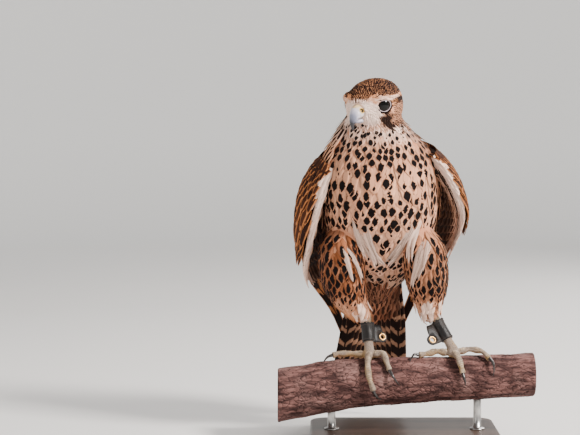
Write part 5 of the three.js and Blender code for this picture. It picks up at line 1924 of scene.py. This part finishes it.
def build_anklet(side):
    """A leather anklet with a stitched edge, and its brass eyelet."""
    middle, axes, height = anklet_axes(side)
    band = anklet_band(middle, axes, height)
    flap, centre = anklet_flap(middle, axes, height)
    name = "anklet_" + side
    leather = new_object(name, closed(name, band, flap), made["leather_finish"])
    declare(leather, "anklet_leather", name)

    r = ANKLET["eyelet"]
    half = [(-1.9, 1.2), (-1.5, 1.75), (-0.8, 1.95), (-0.1, 1.75), (0.1, 1.4), (-0.7, 1.25)]
    profile = [(r + out, lift) for out, lift in half] + [(r + out, -lift) for out, lift in half[::-1]]
    spot = middle + (centre[0] * axes[0] + centre[1] * axes[2]) * MM
    rings = turned_rings(spot, axes[1], axes[0], axes[2], profile, 64)
    eyelet = new_object("grommet_" + side, closed("eyelet", round_about(rings)), made["brass_finish"])
    declare(eyelet, "grommet_brass", "grommet_" + side)

    spots = []
    for edge, lift in ((-height / 2 + 1.9, 0.42), (height / 2 - 3.4, 0.42)):
        count = 26
        for k in range(count):
            a = 2 * math.pi * k / count
            up = axes[0] * math.cos(a) + axes[1] * math.sin(a)
            way = np.cross(axes[2], up)
            place_at = middle + up * (ANKLET["radius"] + lift) * MM + axes[2] * edge * MM
            spots.append((place_at, up, way, MM))
    for face in (1, -1):
        count = 13
        for k in range(count):
            a = math.radians(mix(-80, 80, k / (count - 1)))
            out = axes[0] * math.cos(a) + axes[2] * math.sin(a)
            way = -axes[0] * math.sin(a) + axes[2] * math.cos(a)
            place_at = spot + out * 5.9 * MM + axes[1] * face * 1.22 * MM
            spots.append((place_at, axes[1] * face, way, MM))
    stitches = repeated("stitches_" + side, spots, stitch_mesh(), made["thread_finish"])
    declare(stitches, "anklet_leather")
    return [leather, eyelet, stitches]


def stitch_mesh():
    """One stitch of waxed thread, in units of a millimetre."""
    path = Path([(-0.62, 0, -0.2), (-0.3, 0, 0.12), (0.3, 0, 0.12), (0.62, 0, -0.2)])
    rings = rings_along(path, lambda t, a: 0.19, 8, 8)
    return closed("stitch", lofted(rings))


def anklet_finishes():
    made["leather_finish"] = leather_finish()
    brass = Finish("Eyelet brass", Metallic=1.0, Roughness=0.32)
    worn = brass.blend(brass.noise(300.0), (0.50, 0.26, 0.08), (0.72, 0.42, 0.15))
    made["brass_finish"] = brass.done(worn)
    thread = Finish("Waxed thread", Roughness=0.7)
    made["thread_finish"] = thread.done((0.07, 0.05, 0.04))


# The log and the stand


BASE = {"width": 236, "depth": 170, "thick": 12, "corner": 22, "bevel": 2.2}
ROD = {"radius": 5, "spread": 92, "socket": 4}


def ripples(shape, seed, cells):
    """Smooth noise on a grid that closes on itself across its second direction."""
    rng = np.random.default_rng(seed)
    grid = rng.random(cells)
    rows = np.linspace(0, cells[0] - 1.001, shape[0])
    columns = np.linspace(0, cells[1], shape[1], endpoint=False)
    i, k = rows.astype(int), columns.astype(int)
    s, t = smooth(rows - i)[:, None], smooth(columns - k)[None]
    low = mix(grid[i][:, k], grid[i][:, (k + 1) % cells[1]], t)
    high = mix(grid[i + 1][:, k], grid[i + 1][:, (k + 1) % cells[1]], t)
    return mix(low, high, s) * 2 - 1


def bark_relief(shape):
    """Plates and crooked furrows that run along the log, in millimetres, and how deep each furrow is."""
    bend = ripples(shape, 5, (30, 9)) * 0.9 + ripples(shape, 6, (80, 16)) * 0.35
    around = np.linspace(0, 2 * math.pi, shape[1], endpoint=False)[None]
    stretch = np.linspace(0, 1, shape[0])[:, None]
    fold = np.abs(np.sin(13 * around + 2.6 * bend + 2 * np.sin(7 * stretch)))
    cross = np.abs(np.sin(58 * stretch + 3.4 * ripples(shape, 8, (40, 22)) + 2 * np.sin(3 * around)))
    furrow = np.maximum(1 - smooth(fold, 0, 0.3), 0.75 * (1 - smooth(cross, 0, 0.16)))
    fine = ripples(shape, 9, (150, 80))
    swell = ripples(shape, 10, (26, 14))
    return 0.5 * swell + 0.28 * fine - 1.5 * furrow, furrow


def build_log():
    """A cut length of log: furrowed bark on a long, slowly waving form, and two sawn ends."""
    start, end = PERCH[0][0], PERCH[-1][0]
    steps, sides = 250, 176
    relief, furrow = bark_relief((steps + 1, sides))
    a = circle(sides)
    rings = []
    for i in range(steps + 1):
        x = mix(start, end, i / steps)
        z, r = along(PERCH, x)
        edge = -1.3 if i in (0, steps) else 0
        reach = r * bark_swell(x, a) + relief[i] + edge
        rings.append(place(np.stack([np.full(sides, x), -reach * np.sin(a), z + reach * np.cos(a)], 1)))
    ends = [range(sides), range(steps * sides, (steps + 1) * sides)]
    mesh = mesh_from("perch", np.concatenate(rings), ring_faces(steps + 1, sides) + ends)
    with_share(mesh, "Furrow", furrow.ravel())
    log = new_object("perch", outward(mesh), bark_finish(), cut_finish())
    for face in log.data.polygons:
        if len(face.vertices) > 4:
            face.material_index = 1
            face.use_smooth = False
    return declare(log, "bark", "perch")


def bark_finish():
    f = Finish("Bark", Roughness=0.85, Specular_IOR_Level=0.25)
    furrow = f.share("Furrow")
    long_grain = f.noise(140.0, 6.0, stretch=(0.28, 1, 1))
    warp = f.node("ShaderNodeMixRGB", {0: 0.012, 1: f.object_place(), 2: f.node(
        "ShaderNodeTexNoise", {"Vector": f.object_place(), "Scale": 55.0}).outputs["Color"]}).outputs[0]
    plates = f.node("ShaderNodeMapping", {"Vector": warp, "Scale": (0.3, 1, 1)}).outputs[0]
    scales = f.cells(180.0, "DISTANCE_TO_EDGE", plates)
    patches = f.noise(24.0, 3.0)
    colour = f.blend(f.step(long_grain, 0.4, 0.68), (0.045, 0.018, 0.016), (0.23, 0.108, 0.094))
    colour = f.blend(f.times(f.step(patches, 0.5, 0.72), 0.6), colour, (0.31, 0.175, 0.155))
    colour = f.blend(f.step(scales, 0.045, 0.0), colour, (0.03, 0.012, 0.011))
    # The furrows are painted nearly black: painted shade in the bark's furrows.
    colour = f.blend(f.times(f.step(furrow, 0.2, 0.9), 0.92), colour, (0.022, 0.010, 0.010))
    height = f.scaled(f.step(scales, 0.0, 0.12), 0.6, long_grain)
    f.bump(height, 0.0012, 0.9)
    return f.done(colour)


def cut_finish():
    """Sawn wood: rings about the log's middle, a dark heart and a dark rim of bark."""
    f = Finish("Sawn end", Roughness=0.75)
    terms = f.parts(f.object_place())
    ends = f.step(terms[0], -0.02, 0.02)
    middle_z = f.scaled(ends, (PERCH[-1][1] - PERCH[0][1]) * MM, (PERCH[0][1] + BIRD[2]) * MM)
    across = f.math("SUBTRACT", terms[1], float(BIRD[1] * MM))
    tall = f.math("SUBTRACT", terms[2], middle_z)
    reach = f.reach(across, tall)
    waver = f.times(f.math("SUBTRACT", f.noise(60.0), 0.5), 0.004)
    rings = f.math("SINE", f.times(f.math("ADD", reach, waver), 3400.0))
    colour = f.blend(f.scaled(rings, 0.5, 0.5), (0.30, 0.17, 0.09), (0.48, 0.31, 0.18))
    colour = f.blend(f.step(reach, 0.012, 0.002), colour, (0.20, 0.10, 0.05))
    colour = f.blend(f.step(reach, 0.027, 0.031), colour, (0.07, 0.03, 0.025))
    f.bump(f.scaled(rings, 0.3, f.noise(500.0, stretch=(1, 0.1, 1))), 0.0004, 0.6)
    return f.done(colour)


def rounded_slab(width, depth, corner, levels, steps=14):
    """Rings of a slab with round corners. A level is a height and how far its edge is drawn in."""
    rings = []
    for height, drawn in levels:
        ring = []
        for quarter, (sx, sy) in enumerate(((1, 1), (-1, 1), (-1, -1), (1, -1))):
            for k in range(steps + 1):
                a = math.pi / 2 * (quarter + k / steps)
                radius = corner - drawn
                ring.append((
                    sx * (width / 2 - corner) + radius * math.cos(a),
                    sy * (depth / 2 - corner) + radius * math.sin(a),
                    height,
                ))
        rings.append(ring)
    return np.array(rings) * MM


def build_stand():
    """A dark stained base with an eased edge, and the two steel rods that carry the log."""
    bevel, thick = BASE["bevel"], BASE["thick"]
    levels = [(0, 0.6), (0.6, 0)]
    for k in range(7):
        a = math.pi / 2 * k / 6
        levels.append((thick - bevel + bevel * math.sin(a), bevel * (1 - math.cos(a))))
    levels.append((thick, 18))
    rings = rounded_slab(BASE["width"], BASE["depth"], BASE["corner"], levels)
    base = new_object("stand_base", closed("base", lofted(rings)), stand_finish())
    pieces = [declare(base, "stand_wood", "stand_base")]
    steel = steel_finish()
    for side, end in (("r", -1), ("l", 1)):
        x = end * ROD["spread"]
        z, r = along(PERCH, x - BIRD[0])
        low, high = thick - ROD["socket"], z + BIRD[2] - r * 0.7
        radius = ROD["radius"]
        profile = [
            (radius - 0.6, low), (radius, low + 0.6), (radius, thick + 0.2), (radius + 4, thick + 0.2),
            (radius + 4.4, thick + 0.7), (radius + 4.2, thick + 1.6), (radius + 1, thick + 2.2),
            (radius, thick + 2.6), (radius, (low + high) / 2), (radius, high - 0.6), (radius - 0.6, high),
        ]
        axes = np.eye(3)
        rings = turned_rings(np.array([x, 0, 0]) * MM, axes[2], axes[0], axes[1], profile, 64)
        rod = new_object("stand_rod_" + side, closed("rod", lofted(rings)), steel)
        pieces.append(declare(rod, "stand_steel", "stand_rod_" + side))
    return pieces


def stand_finish():
    f = Finish("Stained base", Roughness=0.42, Coat_Weight=0.2, Coat_Roughness=0.3)
    grain = f.noise(38.0, 8.0, stretch=(0.12, 1, 1))
    pores = f.noise(900.0, 2.0, stretch=(0.05, 1, 1))
    colour = f.blend(f.step(grain, 0.34, 0.66), (0.020, 0.011, 0.008), (0.075, 0.040, 0.026))
    colour = f.blend(f.step(pores, 0.44, 0.3), colour, (0.008, 0.005, 0.004))
    f.bump(f.scaled(pores, 0.5, grain), 0.0003, 0.5)
    return f.done(colour)


def steel_finish():
    f = Finish("Rod steel", Metallic=1.0, Roughness=0.3, Anisotropic=0.4)
    brush = f.noise(700.0, 3.0, stretch=(1, 1, 0.03))
    colour = f.blend(brush, (0.42, 0.41, 0.40), (0.60, 0.59, 0.57))
    f.bump(brush, 0.00005, 0.5)
    return f.done(colour, f.scaled(brush, 0.2, 0.2))


# The stage


def build_stage():
    """A pale floor that rises softly behind, large soft lights, and the photograph's framing."""
    view = bpy.context.scene.falcon_stage
    floor = Finish("Floor", Roughness=0.85, Specular_IOR_Level=0.2)
    colour = tuple(view.floor)
    floor.bump(floor.noise(300.0), 0.0001, 0.3)
    spot = {"Vector": floor.object_place()}
    far = floor.node("ShaderNodeVectorMath", spot, operation="LENGTH").outputs["Value"]
    floor.put(colour, floor.shader.inputs["Emission Color"])
    floor.put(floor.times(floor.step(far, 1.5, 4.0), view.glow), floor.shader.inputs["Emission Strength"])
    material = floor.done(floor.blend(floor.noise(2.0), colour, tuple(c * 0.97 for c in colour)))
    sides, profile = 96, [(0.001, 0), (1.5, 0), (3, 0)]
    for k in range(1, 17):
        a = math.pi / 2 * k / 16
        profile.append((3 + 2 * math.sin(a), 2 * (1 - math.cos(a))))
    rings = turned_rings(np.zeros(3), *np.eye(3)[[2, 0, 1]], [(r / MM, z / MM) for r, z in profile], sides)
    mesh = mesh_from("floor", rings.reshape(-1, 3), ring_faces(len(profile), sides))
    new_object("floor", mesh, material)

    world = bpy.context.scene.world or bpy.data.worlds.new("World")
    bpy.context.scene.world = world
    world.use_nodes = True
    background = world.node_tree.nodes["Background"]
    background.inputs["Color"].default_value = (0.92, 0.95, 1.0, 1)
    background.inputs["Strength"].default_value = view.surround
    middle = Vector(view.target)
    for name, at, size, power, tint in LIGHTS:
        data = bpy.data.lights.new(name, "AREA")
        data.shape = "RECTANGLE"
        data.size, data.size_y = size
        data.energy = power * view.brightness
        data.color = tint
        lamp = bpy.data.objects.new(name, data)
        lamp.location = middle + Vector(at)
        lamp.rotation_euler = (-Vector(at)).to_track_quat("-Z", "Y").to_euler()
        bpy.context.scene.collection.objects.link(lamp)

    data = bpy.data.cameras.new("Camera")
    data.sensor_width = 36
    data.lens = data.sensor_width * view.distance / view.width
    data.clip_end = 50
    data.dof.use_dof = False
    camera = bpy.data.objects.new("Camera", data)
    away = Vector((0, -math.cos(view.height), math.sin(view.height)))
    camera.location = middle + away * view.distance
    camera.rotation_euler = (-away).to_track_quat("-Z", "Y").to_euler()
    bpy.context.scene.collection.objects.link(camera)
    bpy.context.scene.camera = camera


# The add-on


class FalconPlumage(bpy.types.PropertyGroup):
    """Colours of the feathers, and how they are laid."""

    __annotations__ = {
        key: FloatVectorProperty(
            name=title, description=text, default=value, subtype="COLOR", min=0.0, max=1.0)
        for key, (title, text, value) in DYES.items()
    }
    seed: IntProperty(name="Seed", description="Start of every random draw", default=SEED, min=0)
    body_length: FloatProperty(
        name="Body feather length", description="Length as a multiple of the spacing between feathers",
        default=2.6, min=1.5, max=3.5)
    spot_size: FloatProperty(
        name="Spot size", description="Size of the dark drops, 1 as in the photograph",
        default=1.0, min=0.0, max=1.4)


class FalconStage(bpy.types.PropertyGroup):
    """The floor, the lights and the view."""

    floor: FloatVectorProperty(
        name="Floor", description="Colour of the floor and backdrop", default=(0.78, 0.77, 0.75),
        subtype="COLOR", min=0.0, max=1.0)
    target: FloatVectorProperty(
        name="Target", description="The place in the middle of the view", default=(-0.1445, -0.008, 0.2806),
        subtype="TRANSLATION", unit="LENGTH")
    distance: FloatProperty(
        name="Distance", description="From the camera to the target", default=2.3, min=0.5, unit="LENGTH")
    width: FloatProperty(
        name="View width", description="What the picture spans at the target", default=0.725, min=0.1,
        unit="LENGTH")
    height: FloatProperty(
        name="View height", description="Angle of the camera above the level", default=math.radians(4),
        subtype="ANGLE")
    brightness: FloatProperty(name="Brightness", description="Scales every lamp", default=1.0, min=0.0)
    surround: FloatProperty(name="Surround", description="Strength of the even light", default=0.24, min=0.0)
    glow: FloatProperty(name="Glow", description="Light given off by the far backdrop", default=0.5, min=0.0)


class Piece:
    """What the operators share."""

    bl_options = {"REGISTER", "UNDO"}


class FALCON_OT_skin(Piece, bpy.types.Operator):
    """Build the one skin under the coat"""

    bl_idname = "falcon.skin"
    bl_label = "Skin"

    def execute(self, context):
        build_skin()
        return {"FINISHED"}


class FALCON_OT_body_coat(Piece, bpy.types.Operator):
    """Lay the breast and mantle feathers"""

    bl_idname = "falcon.body_coat"
    bl_label = "Body feathers"

    def execute(self, context):
        feather_finishes()
        build_body_coat()
        return {"FINISHED"}


class FALCON_OT_head_coat(Piece, bpy.types.Operator):
    """Lay the head's fine feathers"""

    bl_idname = "falcon.head_coat"
    bl_label = "Head feathers"

    def execute(self, context):
        build_head_coat()
        return {"FINISHED"}


class FALCON_OT_trousers(Piece, bpy.types.Operator):
    """Lay the thighs' feathers and the loose ones about them"""

    bl_idname = "falcon.trousers"
    bl_label = "Trousers"

    def execute(self, context):
        for side in "rl":
            build_thigh_coat(side)
        build_loose_feathers()
        return {"FINISHED"}


class FALCON_OT_wings(Piece, bpy.types.Operator):
    """Build both folded wings"""

    bl_idname = "falcon.wings"
    bl_label = "Wings"

    def execute(self, context):
        for side in "rl":
            build_wing(side)
        return {"FINISHED"}


class FALCON_OT_tail(Piece, bpy.types.Operator):
    """Build the barred tail and its coverts"""

    bl_idname = "falcon.tail"
    bl_label = "Tail"

    def execute(self, context):
        build_tail()
        return {"FINISHED"}


class FALCON_OT_eyes(Piece, bpy.types.Operator):
    """Build the eyes and their bare lids"""

    bl_idname = "falcon.eyes"
    bl_label = "Eyes"

    def execute(self, context):
        build_eyes()
        return {"FINISHED"}


class FALCON_OT_bill(Piece, bpy.types.Operator):
    """Build the bill and the cere"""

    bl_idname = "falcon.bill"
    bl_label = "Bill"

    def execute(self, context):
        build_bill()
        return {"FINISHED"}


class FALCON_OT_feet(Piece, bpy.types.Operator):
    """Build the shanks, toes and claws"""

    bl_idname = "falcon.feet"
    bl_label = "Feet"

    def execute(self, context):
        foot_finishes()
        for side in "rl":
            build_foot(side)
        return {"FINISHED"}


class FALCON_OT_anklets(Piece, bpy.types.Operator):
    """Build the leather anklets and their eyelets"""

    bl_idname = "falcon.anklets"
    bl_label = "Anklets"

    def execute(self, context):
        anklet_finishes()
        for side in "rl":
            build_anklet(side)
        return {"FINISHED"}


class FALCON_OT_log(Piece, bpy.types.Operator):
    """Build the cut log"""

    bl_idname = "falcon.log"
    bl_label = "Log"

    def execute(self, context):
        build_log()
        return {"FINISHED"}


class FALCON_OT_stand(Piece, bpy.types.Operator):
    """Build the base and its rods"""

    bl_idname = "falcon.stand"
    bl_label = "Stand"

    def execute(self, context):
        build_stand()
        return {"FINISHED"}


class FALCON_OT_stage(Piece, bpy.types.Operator):
    """Build the floor, the lights and the camera"""

    bl_idname = "falcon.stage"
    bl_label = "Stage"

    def execute(self, context):
        build_stage()
        return {"FINISHED"}


OPERATORS = (
    FALCON_OT_skin,
    FALCON_OT_body_coat,
    FALCON_OT_head_coat,
    FALCON_OT_trousers,
    FALCON_OT_wings,
    FALCON_OT_tail,
    FALCON_OT_eyes,
    FALCON_OT_bill,
    FALCON_OT_feet,
    FALCON_OT_anklets,
    FALCON_OT_log,
    FALCON_OT_stand,
    FALCON_OT_stage,
)


class FALCON_PT_sidebar(bpy.types.Panel):
    """Lists the falcon's settings and operators"""

    bl_idname = "FALCON_PT_sidebar"
    bl_label = "Falcon"
    bl_space_type = "VIEW_3D"
    bl_region_type = "UI"
    bl_category = "Falcon"

    def draw(self, context):
        for group in (context.scene.falcon_plumage, context.scene.falcon_stage):
            box = self.layout.box()
            for key in group.bl_rna.properties.keys():
                if key not in ("rna_type", "name"):
                    box.prop(group, key)
        for operator in OPERATORS:
            self.layout.operator(operator.bl_idname)


CLASSES = (FalconPlumage, FalconStage, *OPERATORS, FALCON_PT_sidebar)


def register():
    for cls in CLASSES:
        bpy.utils.register_class(cls)
    bpy.types.Scene.falcon_plumage = PointerProperty(type=FalconPlumage)
    bpy.types.Scene.falcon_stage = PointerProperty(type=FalconStage)


def unregister():
    del bpy.types.Scene.falcon_stage
    del bpy.types.Scene.falcon_plumage
    for cls in reversed(CLASSES):
        bpy.utils.unregister_class(cls)


def main():
    register()
    for operator in OPERATORS:
        getattr(bpy.ops.falcon, operator.bl_idname.split(".")[1])()


if __name__ == "__main__":
    main()
